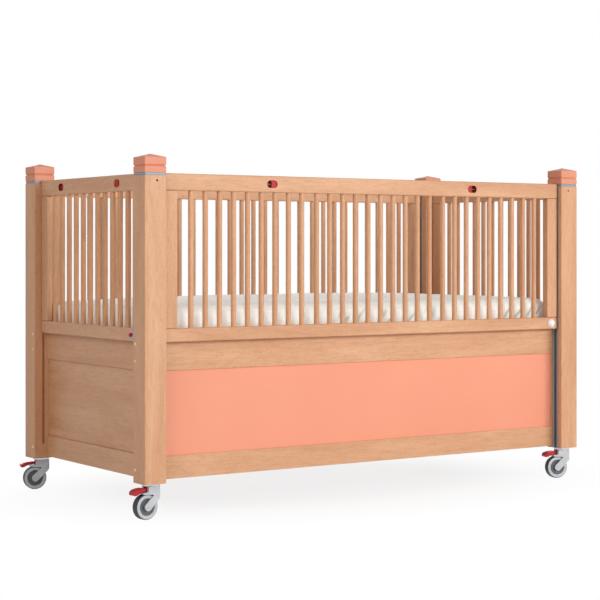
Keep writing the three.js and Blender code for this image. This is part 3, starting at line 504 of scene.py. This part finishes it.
def build_barred_frame(name, index):
    """Lower rail, stiles, bars and guide blocks, each wooden piece with its grain along its own length."""
    s = Side(name)
    bm = bmesh.new()
    add_box(bm, (-s.end, s.face, s.foot), (s.end, s.back, s.lower_top))
    rail = new_object("lower_rail_" + name, bm, wood(0, "lower_rail", index))
    soften(rail, LOWER_RAIL_EDGE, angle=60, segments=4)
    s.place(rail, "beech")
    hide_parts("barred_frame_" + name)

    bm = bmesh.new()
    crown = s.top_rail_foot - TOP_RAIL_GAP
    for sign in (-1, 1):
        foot = (sign * (s.end - STILE_WIDTH), s.face, s.lower_top + STILE_FOOT_GAP)
        add_box(bm, foot, (sign * s.end, s.back, crown))
    stiles = new_object("stiles_" + name, bm, wood(2, "stiles", index))
    soften(stiles, STILE_EDGE, angle=60, segments=3)
    s.place(stiles, "beech")

    bm = bmesh.new()
    root = s.lower_top - BAR_ROOT
    length = crown - root
    profile = [(0, 0), (BAR_RADIUS, 0), (BAR_RADIUS, length), (0, length)]
    for x in s.bars():
        add_lathe(bm, profile, (x, s.middle, root), (0, 0, 1), BAR_SEGMENTS)
    bars = new_object("bars_" + name, bm, wood(2, "bars", index))
    weigh_normals(bars)
    s.place(bars, "beech")

    bm = bmesh.new()
    spans = (
        (s.foot + GUIDE_CLEARANCE, s.lower_top - GUIDE_CLEARANCE),
        (s.top_rail_foot - GUIDE_UPPER_FOOT, s.top_rail_foot - GUIDE_CLEARANCE),
    )
    for sign in (-1, 1):
        for z0, z1 in spans:
            for start, stop, half in END_GUIDE_STEPS if s.is_end else LONG_GUIDE_STEPS:
                near = (sign * (s.end + start * MM), s.middle - half * MM, z0)
                far = (sign * (s.end + stop * MM), s.middle + half * MM, z1)
                add_box(bm, near, far)
    blocks = new_object("guide_blocks_" + name, bm, GREY)
    soften(blocks, GUIDE_EDGE)
    s.place(blocks, "grey_plastic")
    return s


# Half of the cot's length over its posts, and the cap's place from there
HALF_LENGTH = 0.82
CAP_FROM_END = 0.102
CAP_RIM = in_mm((0, -1), (13.5, -1), (13.5, 4.4), (13.1, 5.3), (12.3, 5.7), (11.9, 5.4), (11.5, 5.9))
CAP_DOME = 7.0 * MM
CAP_DOME_STEPS = 8


def build_cap(s):
    """Plain white domed cap on a long side's lower rail, with a thin rim."""
    radius, foot = CAP_RIM[-1]
    profile = list(CAP_RIM)
    for i in range(1, CAP_DOME_STEPS):
        turn = i / CAP_DOME_STEPS * math.pi / 2
        profile.append((radius * math.cos(turn), foot + CAP_DOME * math.sin(turn)))
    profile.append((0, foot + CAP_DOME))
    bm = bmesh.new()
    add_lathe(bm, profile, (HALF_LENGTH - CAP_FROM_END, s.face, s.lower_middle), (0, -1, 0), segments=48)
    cap = new_object("round_cap_" + s.name, bm, WHITE)
    s.place(cap, "grey_plastic")


# Half of the clear width between the posts of an end, and the knob's place from there
HALF_END_CLEAR = 0.329
KNOB_FROM_POST = 0.047
KNOB_PLATE = in_mm(
    (3.4, -0.5), (12.5, -0.5), (12.5, 1.2), (11.7, 2), (7.5, 2), (7, 1.5), (3.4, 1.5), (3.4, -0.5),
)
KNOB_PLATE_FRONT = 2 * MM
# Tip of the knob's pin, from the back of the rail, and the knob from the front of its plate
PIN_TIP = in_mm((0, 0.3), (2.6, 0.3), (3, 0.7))
KNOB_HEAD = in_mm(
    (3, 0.3), (6, 0.3), (6, 1.4), (5.2, 2.0), (5.0, 3.4), (5.4, 4.6), (6, 5.4), (5.9, 6.6), (5.0, 7.5),
    (3.4, 7.95), (0, 8),
)


def build_knob(s):
    """Grey plate and red pull knob with its pin on an end's lower rail."""
    x = HALF_END_CLEAR - KNOB_FROM_POST
    bm = bmesh.new()
    add_lathe(bm, KNOB_PLATE, (x, s.face, s.lower_middle), (0, -1, 0), segments=48)
    plate = new_object("knob_plate_" + s.name, bm, PLATE)
    weigh_normals(plate)
    s.place(plate, "grey_plastic")

    bm = bmesh.new()
    front = s.face - KNOB_PLATE_FRONT
    depth = s.back - front
    profile = [(r, h - depth) for r, h in PIN_TIP] + KNOB_HEAD
    add_lathe(bm, profile, (x, front, s.lower_middle), (0, -1, 0), segments=40)
    knob = new_object("knob_" + s.name, bm, RED)
    body = "pull_knob_" + s.name
    s.place(knob, "red_plastic", body)
    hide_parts(body)


# The hands of a side's latches, the one at -x in the side's own frame first
HANDS = {
    "front": ("left", "right"),
    "rear": ("right", "left"),
    "left": ("rear", "front"),
    "right": ("front", "rear"),
}
BLOCK_HALF_HEIGHT = 11.2 * MM
BLOCK_EDGE = 0.7 * MM
BLOCK_FROM_FACE = 4.3 * MM
# Face and tail of the block, from the middle of the window
BLOCK_FACE = 4 * MM
BLOCK_TAIL = 21 * MM
SCOOP_DEPTH = 4.5 * MM
SCOOP_RADIUS = (BLOCK_HALF_HEIGHT ** 2 + SCOOP_DEPTH ** 2) / (2 * SCOOP_DEPTH)
SCOOP_STEPS = 14
ROD_RADIUS = 3 * MM
ROD_TIP_RADIUS = 2.2 * MM
ROD_TIP_LENGTH = 1 * MM
ROD_OFFSET = 1 * MM
ROD_IN_BLOCK = 2 * MM
ROD_PAST_END = 10 * MM
LINING_OUTER = 11.5 * MM
LINING_INNER = 11.28 * MM
LINING_EDGE = 0.05 * MM
# Start of the lining and middle of its round end, from the middle of the window
LINING_START = -9 * MM
LINING_ROUND = 7 * MM
LINING_STEPS = 20
LINING_FROM_FACE = 0.6 * MM
LINING_FROM_BACK = 4.2 * MM


def build_latch_block(s, name, sign):
    """Red finger block with a hollow face."""
    half_depth = (s.back - s.face) / 2 - BLOCK_FROM_FACE
    face = s.window + BLOCK_FACE
    tail = s.window - BLOCK_TAIL
    sweep = math.asin(BLOCK_HALF_HEIGHT / SCOOP_RADIUS)
    outline = [(tail, -BLOCK_HALF_HEIGHT), (face, -BLOCK_HALF_HEIGHT)]
    for i in range(1, SCOOP_STEPS):
        a = -sweep + 2 * sweep * i / SCOOP_STEPS
        hollow = SCOOP_DEPTH - SCOOP_RADIUS + SCOOP_RADIUS * math.cos(a)
        outline.append((face - hollow, SCOOP_RADIUS * math.sin(a)))
    outline += [(face, BLOCK_HALF_HEIGHT), (tail, BLOCK_HALF_HEIGHT)]
    points = [(sign * x, s.middle - half_depth, s.latch_height + z) for x, z in outline]
    bm = bmesh.new()
    add_prism(bm, points, (0, 2 * half_depth, 0))
    block = new_object("latch_block_" + name, bm, LATCH_RED)
    soften(block, BLOCK_EDGE, angle=40, segments=3)
    s.place(block, "red_plastic", "latch_" + name)
    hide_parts("latch_" + name)


def build_latch_rod(s, name, sign):
    """Rod from the block's hollow into the post's guide, its dark colour painted shade."""
    start = s.window + BLOCK_FACE - SCOOP_DEPTH - ROD_IN_BLOCK
    run = s.end + ROD_PAST_END - start
    profile = [(0, 0), (ROD_RADIUS, 0), (ROD_RADIUS, run - ROD_TIP_LENGTH), (ROD_TIP_RADIUS, run), (0, run)]
    bm = bmesh.new()
    add_lathe(bm, profile, (sign * start, s.middle + ROD_OFFSET, s.latch_height), (sign, 0, 0), segments=20)
    rod = new_object("latch_rod_" + name, bm, ROD_SHADE)
    weigh_normals(rod)
    s.place(rod, "band_metal", "latch_" + name)


def lining_outline(s, radius):
    """Outline of a window's lining, as places along the side and heights from the latch."""
    start = s.window + LINING_START
    centre = s.window + LINING_ROUND
    angles = [math.pi / 2 - math.pi * i / LINING_STEPS for i in range(LINING_STEPS + 1)]
    arc = [(centre + radius * math.cos(a), radius * math.sin(a)) for a in angles]
    return [(start, radius)] + arc + [(start, -radius)]


def build_window_lining(s, name, sign):
    """Thin red lining of the window that the block lies in, darkened by painted shade."""
    outer = lining_outline(s, LINING_OUTER)
    inner = lining_outline(s, LINING_INNER)
    y0 = s.face + LINING_FROM_FACE
    y1 = s.back - LINING_FROM_BACK
    bm = bmesh.new()
    grid = []
    for outline, y in ((outer, y0), (inner, y0), (inner, y1), (outer, y1)):
        grid.append([bm.verts.new((sign * x, y, s.latch_height + z)) for x, z in outline])
    for a, b in zip(grid, grid[1:] + grid[:1]):
        for i in range(len(a) - 1):
            bm.faces.new((a[i], a[i + 1], b[i + 1], b[i]))
    bm.faces.new([g[0] for g in grid])
    bm.faces.new([g[-1] for g in grid][::-1])
    lining = new_object("window_lining_" + name, bm, LINING_RED_SHADED)
    soften(lining, LINING_EDGE, angle=60, segments=1)
    s.place(lining, "red_plastic")


def build_latches(s):
    for hand, sign in zip(HANDS[s.name], (-1, 1)):
        name = "%s_%s" % (s.name, hand)
        build_latch_block(s, name, sign)
        build_latch_rod(s, name, sign)
        build_window_lining(s, name, sign)


# Casters

# Half profiles of a wheel's pieces in millimetres: radius on a wheel of 75 mm, and distance from its middle
DRAWN_WHEEL = 75 * MM
WHEEL_SEGMENTS = 72
TREAD_HALF = (
    (26, 9.6), (34.4, 10.6), (35.6, 11.0), (36.6, 10.2), (37.2, 8.8), (37.45, 7), (37.5, 5), (37.5, 1.5),
)
RING_HALF = (
    (25.2, 9.0), (25.5, 11.0), (26.2, 11.7), (27.4, 11.9), (33.4, 11.9), (34.8, 11.6), (35.3, 11.1),
    (34.8, 10),
)
DISC_HALF = ((4.7, 10.6), (9.4, 10.6), (10, 10), (10.4, 9.2), (14, 8.6), (24, 9.0), (25.8, 9.4))
AXLE_HEAD = in_mm((0, -1), (4.4, -1), (4.4, 0.3), (3.8, 0.6), (0, 0.75))
AXLE_HALF_LENGTH = 18 * MM


def wheel_place(corner):
    """Centre, axis and diameter of a caster's wheel."""
    lo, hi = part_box("caster_wheel_" + corner)
    joint = next(j for j in frame["joints"] if j["name"] == "wheel_spin_" + corner)
    return (lo + hi) / 2, Vector(joint["axis"]), hi.z - lo.z


def build_wheel_piece(name, corner, half, material):
    """One turned piece of a wheel, the same to both sides of its middle."""
    centre, axis, diameter = wheel_place(corner)
    fit = diameter / DRAWN_WHEEL
    half = [(r * fit * MM, h * MM) for r, h in half]
    loop = [(r, -h) for r, h in half] + [(r, h) for r, h in reversed(half)]
    bm = bmesh.new()
    add_lathe(bm, loop + loop[:1], centre, axis, WHEEL_SEGMENTS)
    obj = new_object("%s_%s" % (name, corner), bm, material)
    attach(obj, "wheel_" + corner)
    return obj


def build_wheel(corner):
    """Dark tread with a rounded shoulder, pale side ring and dark disc."""
    tread = build_wheel_piece("tread", corner, TREAD_HALF, TREAD)
    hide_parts("caster_wheel_" + corner)
    weigh_normals(build_wheel_piece("ring", corner, RING_HALF, RING))
    weigh_normals(build_wheel_piece("disc", corner, DISC_HALF, HUB))


def build_axle_heads(corner):
    """Pressed axle ends on the fork's arms."""
    centre, axis, _ = wheel_place(corner)
    bm = bmesh.new()
    for sign in (-1, 1):
        add_lathe(bm, AXLE_HEAD, centre + axis * sign * AXLE_HALF_LENGTH, axis * sign, segments=28)
    heads = new_object("axle_heads_" + corner, bm, GREY)
    weigh_normals(heads)
    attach(heads, "caster_" + corner)


# Details of the frame

STRIP_WIDTH = 4.5 * MM
STRIP_EDGE = 0.6 * MM
BOLT_HEIGHTS = (0.4965, 0.4475, 0.1385)
BOLT_INSET = 57.5 * MM
BOLT_RADIUS = 4.4 * MM
# The part's box ends at the posts on the right, so the bolt heads lie nearly flush there
BOLT_RISE_LEFT = 0.9 * MM
BOLT_RISE_RIGHT = 0.08 * MM
BOLT_FOOT = 0.6 * MM
# Bolt head with a sunk socket, as shares of its radius and of its rise
BOLT_DOME = ((1, 0.25), (0.86, 0.7), (0.55, 1), (0.48, 1), (0.42, 0.35), (0, 0.3))
PIN_HOLE = in_mm((0, -3), (3.0, -3), (3.0, 0.05), (0, 0.06))
PIN_HOLE_INSET = 39.5 * MM
PIN_HOLE_HEIGHT = 0.9595
CHANNEL_WALL = 2 * MM
CHANNEL_SCREW = in_mm((0, -0.5), (3.6, -0.5), (3.6, 0.1), (2.2, 0.3), (0, 0.3))
SCREW_COUNT = 5
SCREW_FIRST = 0.150
SCREW_PITCH = 0.195


def build_panel_strips(name):
    """Narrow wooden strips that close a coral panel's ends beside the posts."""
    panel_lo, panel_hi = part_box("lower_panel_" + name)
    rail_lo, rail_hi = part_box("bottom_rail_" + name)
    foot = rail_hi.z
    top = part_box("upper_rail_" + name)[0].z
    outer = rail_lo.y if name == "front" else rail_hi.y
    inner = panel_lo.y if name == "front" else panel_hi.y
    bm = bmesh.new()
    for end, sign in ((rail_lo.x, 1), (rail_hi.x, -1)):
        add_box(bm, (end, outer, foot), (end + sign * STRIP_WIDTH, inner, top))
    strips = new_object("panel_strips_" + name, bm, wood(2, "panel_strips"))
    soften(strips, STRIP_EDGE)
    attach(strips, "frame")


def build_post_details(corner):
    """Bolt heads on the end face, the small hole on the long face, and screws in the guide channel."""
    lo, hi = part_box("post_" + corner)
    sx = -1 if corner.endswith("left") else 1
    sy = -1 if corner.startswith("front") else 1
    outer_x = lo.x if sx < 0 else hi.x
    outer_y = lo.y if sy < 0 else hi.y
    rise = BOLT_RISE_LEFT if sx < 0 else BOLT_RISE_RIGHT
    profile = [(0, -BOLT_FOOT), (BOLT_RADIUS, -BOLT_FOOT)]
    profile += [(r * BOLT_RADIUS, h * rise) for r, h in BOLT_DOME]
    bm = bmesh.new()
    for z in BOLT_HEIGHTS:
        add_lathe(bm, profile, (outer_x, outer_y - sy * BOLT_INSET, z), (sx, 0, 0), segments=28)
    bolts = new_object("bolts_" + corner, bm, BRASS)
    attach(bolts, "frame")

    bm = bmesh.new()
    mouth = (outer_x - sx * PIN_HOLE_INSET, outer_y, PIN_HOLE_HEIGHT)
    add_lathe(bm, PIN_HOLE, mouth, (0, sy, 0), segments=24)
    hole = new_object("pin_hole_" + corner, bm, HOLE)
    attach(hole, "frame")

    lo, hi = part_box("guide_channel_" + corner)
    x = (lo.x + CHANNEL_WALL) if sx < 0 else (hi.x - CHANNEL_WALL)
    bm = bmesh.new()
    for i in range(SCREW_COUNT):
        z = SCREW_FIRST + SCREW_PITCH * i
        add_lathe(bm, CHANNEL_SCREW, (x, (lo.y + hi.y) / 2, z), (-sx, 0, 0), segments=24)
    screws = new_object("guide_screws_" + corner, bm, SCREW)
    weigh_normals(screws)
    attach(screws, "frame")


# Mattress

# Roundings of the solid: its corners in plan, and its edges. The pad's foot has a tighter edge.
SOLID_CORNER = 72 * MM
SOLID_EDGE = 28 * MM
PAD_FOOT_EDGE = 9 * MM
PAD_CORNER_FILL = 0.2
PAD_INSET = 3 * MM
PAD_WELD_REACH = 0.0001
PAD_VOXEL = 0.009
PAD_SWELL = 5 * MM
SWELL_FRAMES = 15


def build_mattress():
    """Foam mattress in a loose cover: swelled by cloth simulation, with folds and creases on its sides."""
    lo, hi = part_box("mattress")
    obj = bpy.data.objects.new("mattress_pad", NODES["mattress"].data.copy())
    bpy.context.scene.collection.objects.link(obj)
    obj.data.materials.clear()
    obj.data.materials.append(COVER)
    centre = (lo + hi) / 2
    size = hi - lo
    stretch = (size.z - PAD_FOOT_EDGE) / (size.z - SOLID_EDGE)
    for v in obj.data.vertices:
        v.co.x, v.co.y = square_corner(v.co.x - centre.x, v.co.y - centre.y, size.x / 2, size.y / 2)
        v.co.x += centre.x
        v.co.y += centre.y
        rise = v.co.z - lo.z
        if rise < SOLID_EDGE:
            rise = rise * PAD_FOOT_EDGE / SOLID_EDGE
        else:
            rise = PAD_FOOT_EDGE + (rise - SOLID_EDGE) * stretch
        v.co.z = lo.z + rise
    w = obj.modifiers.new("weld", "WELD")
    w.merge_threshold = PAD_WELD_REACH
    r = obj.modifiers.new("remesh", "REMESH")
    r.mode = "VOXEL"
    r.voxel_size = PAD_VOXEL
    apply_modifiers(obj)
    swell(obj, PAD_SWELL)
    sub = obj.modifiers.new("smooth", "SUBSURF")
    sub.levels = sub.render_levels = 1
    apply_modifiers(obj)
    crease(obj, lo, hi)
    shade_smooth(obj.data)
    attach(obj, "frame")
    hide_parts("mattress")


def square_corner(x, y, half_x, half_y):
    """A plan point drawn in by the inset, with the corners filled out to a tighter round."""
    a, b = abs(x) - (half_x - SOLID_CORNER), abs(y) - (half_y - SOLID_CORNER)
    if a > 0 and b > 0:
        grow = 1 + PAD_CORNER_FILL * (2 * a * b / (a * a + b * b)) ** 2
        x = math.copysign(half_x - SOLID_CORNER + a * grow, x)
        y = math.copysign(half_y - SOLID_CORNER + b * grow, y)
    return x * (1 - PAD_INSET / half_x), y * (1 - PAD_INSET / half_y)


def apply_modifiers(obj):
    dg = bpy.context.evaluated_depsgraph_get()
    mesh = bpy.data.meshes.new_from_object(obj.evaluated_get(dg))
    old = obj.data
    obj.modifiers.clear()
    obj.data = mesh
    bpy.data.meshes.remove(old)


def swell(obj, cap):
    """Short pressure simulation, with the movement of each point capped."""
    rest = np.array([v.co[:] for v in obj.data.vertices])
    c = obj.modifiers.new("cloth", "CLOTH")
    c.settings.use_pressure = True
    c.settings.uniform_pressure_force = 4.0
    c.settings.effector_weights.gravity = 0
    c.settings.quality = 4
    c.settings.tension_stiffness = 12
    c.settings.compression_stiffness = 8
    c.settings.bending_stiffness = 0.4
    scene = bpy.context.scene
    for f in range(1, SWELL_FRAMES + 1):
        scene.frame_set(f)
    apply_modifiers(obj)
    scene.frame_set(1)
    now = np.array([v.co[:] for v in obj.data.vertices])
    move = now - rest
    length = np.linalg.norm(move, axis=1, keepdims=True)
    move *= np.minimum(1.0, cap / np.maximum(length, 1e-9))
    obj.data.vertices.foreach_set("co", (rest + move).astype(np.float32).ravel())


# Stretches of the long sides where the cover is loose, along the side from its middle, how softly they
# begin and end, how far up they reach, and the height over which they fade
LOOSE_SPANS = ((-0.11, 0.30), (0.54, 0.72))
LOOSE_BLUR = 0.04
LOOSE_TOP = 72 * MM
LOOSE_FADE = 45 * MM
CREASE_LEAN = math.radians(48)
CREASE_PITCH = 0.030
CREASE_DEPTH = 6.0 * MM
# How far the creases wander off their lines, in radians
CREASE_WANDER = 2.6
# Where in the wave a crease begins, and where in the noise a patch of creases begins and how softly
CREASE_FROM = 0.1
PATCH_FROM = -0.22
PATCH_BLUR = 0.3
# Depths of the broad and the fine hanging folds, of the sides' draw inwards and of the top's waves
FOLD_DEPTH = 2.2 * MM
FINE_DEPTH = 0.8 * MM
SIDE_DRAW = 1.0 * MM
TOP_WAVE = 1.8 * MM
# Where the sides begin, how much weaker the folds are at their top, and where the top begins
SIDE_POWER = 14
SIDE_GAIN = 1.3
FOLD_FADE = 0.6
TOP_FROM = 0.6


def clamp(value):
    return min(1.0, max(0.0, value))


def looseness(x, rise):
    """How loose the cover is at a place on a long side, from 0 to 1."""
    reach = max(min(x - start, end - x) for start, end in LOOSE_SPANS)
    return clamp(reach / LOOSE_BLUR + 0.5) * clamp((LOOSE_TOP - rise) / LOOSE_FADE)


def crease_at(x, rise):
    """Depth of the slanting creases at a place on a long side, from 0 to 1."""
    loose = looseness(x, rise)
    if loose == 0:
        return 0.0
    slant = rise * math.cos(CREASE_LEAN) - x * math.sin(CREASE_LEAN)
    wander = noise.noise(Vector((x * 13, rise * 18, 2.0)))
    patch = noise.noise(Vector((x * 22, rise * 12, 9.0)))
    wave = math.sin(2 * math.pi * slant / CREASE_PITCH + CREASE_WANDER * wander)
    depth = max(0.0, (wave - CREASE_FROM) / (1 - CREASE_FROM))
    return depth * clamp((patch - PATCH_FROM) / PATCH_BLUR) * loose


def crease(obj, lo, hi):
    """Soft hanging folds of a slightly loose cover, and slanting creases near the foot of its long sides."""
    centre = (lo + hi) / 2
    half = (hi - lo) / 2
    depths = []
    for v in obj.data.vertices:
        p = v.co
        u = (p.x - centre.x) / half.x
        w = (p.y - centre.y) / half.y
        t = (p.z - lo.z) / (hi.z - lo.z)
        side = min(1.0, max(abs(u), abs(w)) ** SIDE_POWER * SIDE_GAIN)
        fold = noise.noise(Vector((p.x * 8, p.y * 8, p.z * 2.0)))
        fine = noise.noise(Vector((p.x * 21, p.y * 21, p.z * 6.0 + 7)))
        push = (FOLD_DEPTH * fold + FINE_DEPTH * fine) * side * (1 - FOLD_FADE * t) - SIDE_DRAW * side
        if abs(w) >= abs(u):
            out = Vector((0, math.copysign(1, w), 0))
            depth = side * crease_at((p.x - centre.x) * math.copysign(1, -w), p.z - lo.z)
        else:
            out = Vector((math.copysign(1, u), 0, 0))
            depth = 0.0
        depths.append(depth)
        top = (1 - side) * max(0.0, t - TOP_FROM) / (1 - TOP_FROM)
        lift = TOP_WAVE * noise.noise(Vector((p.x * 6, p.y * 9, 3.0))) * top
        v.co = p + out * (push - CREASE_DEPTH * depth) + Vector((0, 0, lift))
        v.co.z = max(v.co.z, lo.z)
    obj.data.attributes.new(CREASE_ATTRIBUTE, "FLOAT", "POINT").data.foreach_set("value", depths)


# Dressing of the CAD nodes

def dress_frame():
    """Finish and softened arrises of the nodes that are shown as they are, and the small pieces on them."""
    for i, corner in enumerate(CORNERS):
        dress("post_" + corner, wood(2, "post", i), 1.0 * MM, 60)
        dress("post_band_" + corner, BAND, 0.5 * MM, 60)
        dress("post_cap_" + corner, CORAL_CAP, 0.8 * MM, 33)
        dress("guide_channel_" + corner, ALUMINIUM, 0.25 * MM, 60)
        dress("caster_fork_" + corner, FORK, 0.8 * MM, 40)
        dress("brake_pedal_" + corner, RED, 1.4 * MM, 40)
        build_wheel(corner)
        build_axle_heads(corner)
        build_post_details(corner)
    for i, side in enumerate(SIDES):
        is_end = side in ENDS
        axis = 1 if is_end else 0
        dress("upper_rail_" + side, wood(axis, "upper_rail", i), 0.8 * MM, 60)
        dress("bottom_rail_" + side, wood(axis, "bottom_rail", i), 1.2 * MM, 60)
        dress("lower_panel_" + side, wood(axis, "lower_panel", i) if is_end else CORAL_PANEL, 0.4 * MM, 60)
        dress("top_rail_" + side, wood(axis, "top_rail", i), 1.0 * MM, 60)
    dress("base_board", wood(0, "base_board"), 0.8 * MM, 60)


# Studio

AMBIENT = 0.22
FLOOR_REACH = 30
# The floor turns from slightly shaded to plain white between these distances from the cot's middle
FLOOR_FADE = (0.55, 1.15)
FLOOR_NEAR_WHITE = 0.82
# Lamps: name, place, target, size, power
LAMPS = (
    ("key", (2.4, -6.9, 2.4), (0.1, 0, 0.5), (6.0, 2.2), 370),
    ("top", (0.2, 0.2, 4.2), (0, 0, 0.5), (4.0, 3.0), 14),
    ("back_fill", (2.4, 5.8, 1.4), (0, 0, 0.5), (5.0, 2.2), 150),
    ("left_fill", (-4.0, -2.4, 2.6), (-0.3, 0, 0.5), (2.4, 2.2), 62),
)
# Camera fitted to the photo
CAMERA_PLACE = (SHIFT - 3.092, -4.578, 0.7665)
CAMERA_HEADING = -math.atan2(0.5561, 0.8311)
CAMERA_LENS = 101.24
CAMERA_SENSOR = 36
CAMERA_SHIFT_Y = -0.0855


def stage_world(scene):
    """Dim white surroundings that show as plain white to the camera and in reflections."""
    world = bpy.data.worlds.new("studio")
    scene.world = world
    world.use_nodes = True
    wt = world.node_tree
    bg = wt.nodes["Background"]
    bg.inputs["Color"].default_value = (1, 1, 1, 1)
    bg.inputs["Strength"].default_value = AMBIENT
    seen = wt.nodes.new("ShaderNodeBackground")
    seen.inputs["Color"].default_value = (1, 1, 1, 1)
    seen.inputs["Strength"].default_value = 1.0
    path = wt.nodes.new("ShaderNodeLightPath")
    any1 = wt.nodes.new("ShaderNodeMath")
    any1.operation = "MAXIMUM"
    any2 = wt.nodes.new("ShaderNodeMath")
    any2.operation = "MAXIMUM"
    mix = wt.nodes.new("ShaderNodeMixShader")
    wt.links.new(path.outputs["Is Camera Ray"], any1.inputs[0])
    wt.links.new(path.outputs["Is Glossy Ray"], any1.inputs[1])
    wt.links.new(any1.outputs[0], any2.inputs[0])
    wt.links.new(path.outputs["Is Transmission Ray"], any2.inputs[1])
    wt.links.new(any2.outputs[0], mix.inputs[0])
    wt.links.new(bg.outputs[0], mix.inputs[1])
    wt.links.new(seen.outputs[0], mix.inputs[2])
    wt.links.new(mix.outputs[0], wt.nodes["World Output"].inputs["Surface"])


def stage_floor(scene):
    """White floor with a faint shade round the cot."""
    mesh = bpy.data.meshes.new("floor")
    corners = [(x * FLOOR_REACH, y * FLOOR_REACH, 0) for x, y in ((-1, -1), (1, -1), (1, 1), (-1, 1))]
    mesh.from_pydata(corners, [], [(0, 1, 2, 3)])
    floor = bpy.data.objects.new("floor", mesh)
    scene.collection.objects.link(floor)
    s = Shader("floor_white")
    speck = s.noise((2, 2, 2), 2, 0.5)
    s.link("Base Color", s.mix(speck, rgb(246, 246, 246), rgb(243, 243, 243)))
    s.set(Roughness=0.9)
    path = s.tree.nodes.new("ShaderNodeLightPath")
    seen = s.math("MAXIMUM", path.outputs["Is Camera Ray"], path.outputs["Is Glossy Ray"])
    seen = s.math("MAXIMUM", seen, path.outputs["Is Transmission Ray"])
    radius = s.node("ShaderNodeVectorMath", Vector=s.mapped((1, 1.5, 1), (-SHIFT, 0, 0)))
    radius.operation = "LENGTH"
    white = s.math("MULTIPLY", seen, s.span(radius.outputs["Value"], *FLOOR_FADE, FLOOR_NEAR_WHITE, 1.0))
    glow = s.node("ShaderNodeEmission", Color=(1, 1, 1, 1), Strength=1.0)
    blend = s.node("ShaderNodeMixShader", Fac=white)
    s.tree.links.new(s.bsdf.outputs[0], blend.inputs[1])
    s.tree.links.new(glow.outputs[0], blend.inputs[2])
    s.tree.links.new(blend.outputs[0], s.tree.nodes["Material Output"].inputs["Surface"])
    mesh.materials.append(s.mat)


def stage_lamps(scene):
    for name, place, target, size, power in LAMPS:
        lamp = bpy.data.lights.new(name, "AREA")
        lamp.shape = "RECTANGLE"
        lamp.size, lamp.size_y = size
        lamp.energy = power
        obj = bpy.data.objects.new(name, lamp)
        scene.collection.objects.link(obj)
        obj.location = place
        obj.rotation_euler = (Vector(target) - Vector(place)).to_track_quat("-Z", "Y").to_euler()


def stage_camera(scene):
    cam = bpy.data.cameras.new("camera")
    cam.sensor_width = CAMERA_SENSOR
    cam.lens = CAMERA_LENS
    cam.shift_y = CAMERA_SHIFT_Y
    obj = bpy.data.objects.new("camera", cam)
    scene.collection.objects.link(obj)
    obj.location = CAMERA_PLACE
    obj.rotation_euler = (math.pi / 2, 0, CAMERA_HEADING)
    scene.camera = obj


def stage_scene():
    scene = bpy.context.scene
    scene.view_settings.view_transform = "Standard"
    stage_world(scene)
    stage_floor(scene)
    stage_lamps(scene)
    stage_camera(scene)


dress_frame()
for number, side_name in enumerate(SIDES):
    built = build_barred_frame(side_name, number)
    build_latches(built)
    if built.is_end:
        build_knob(built)
    else:
        build_cap(built)
        build_panel_strips(side_name)
build_mattress()
stage_scene()
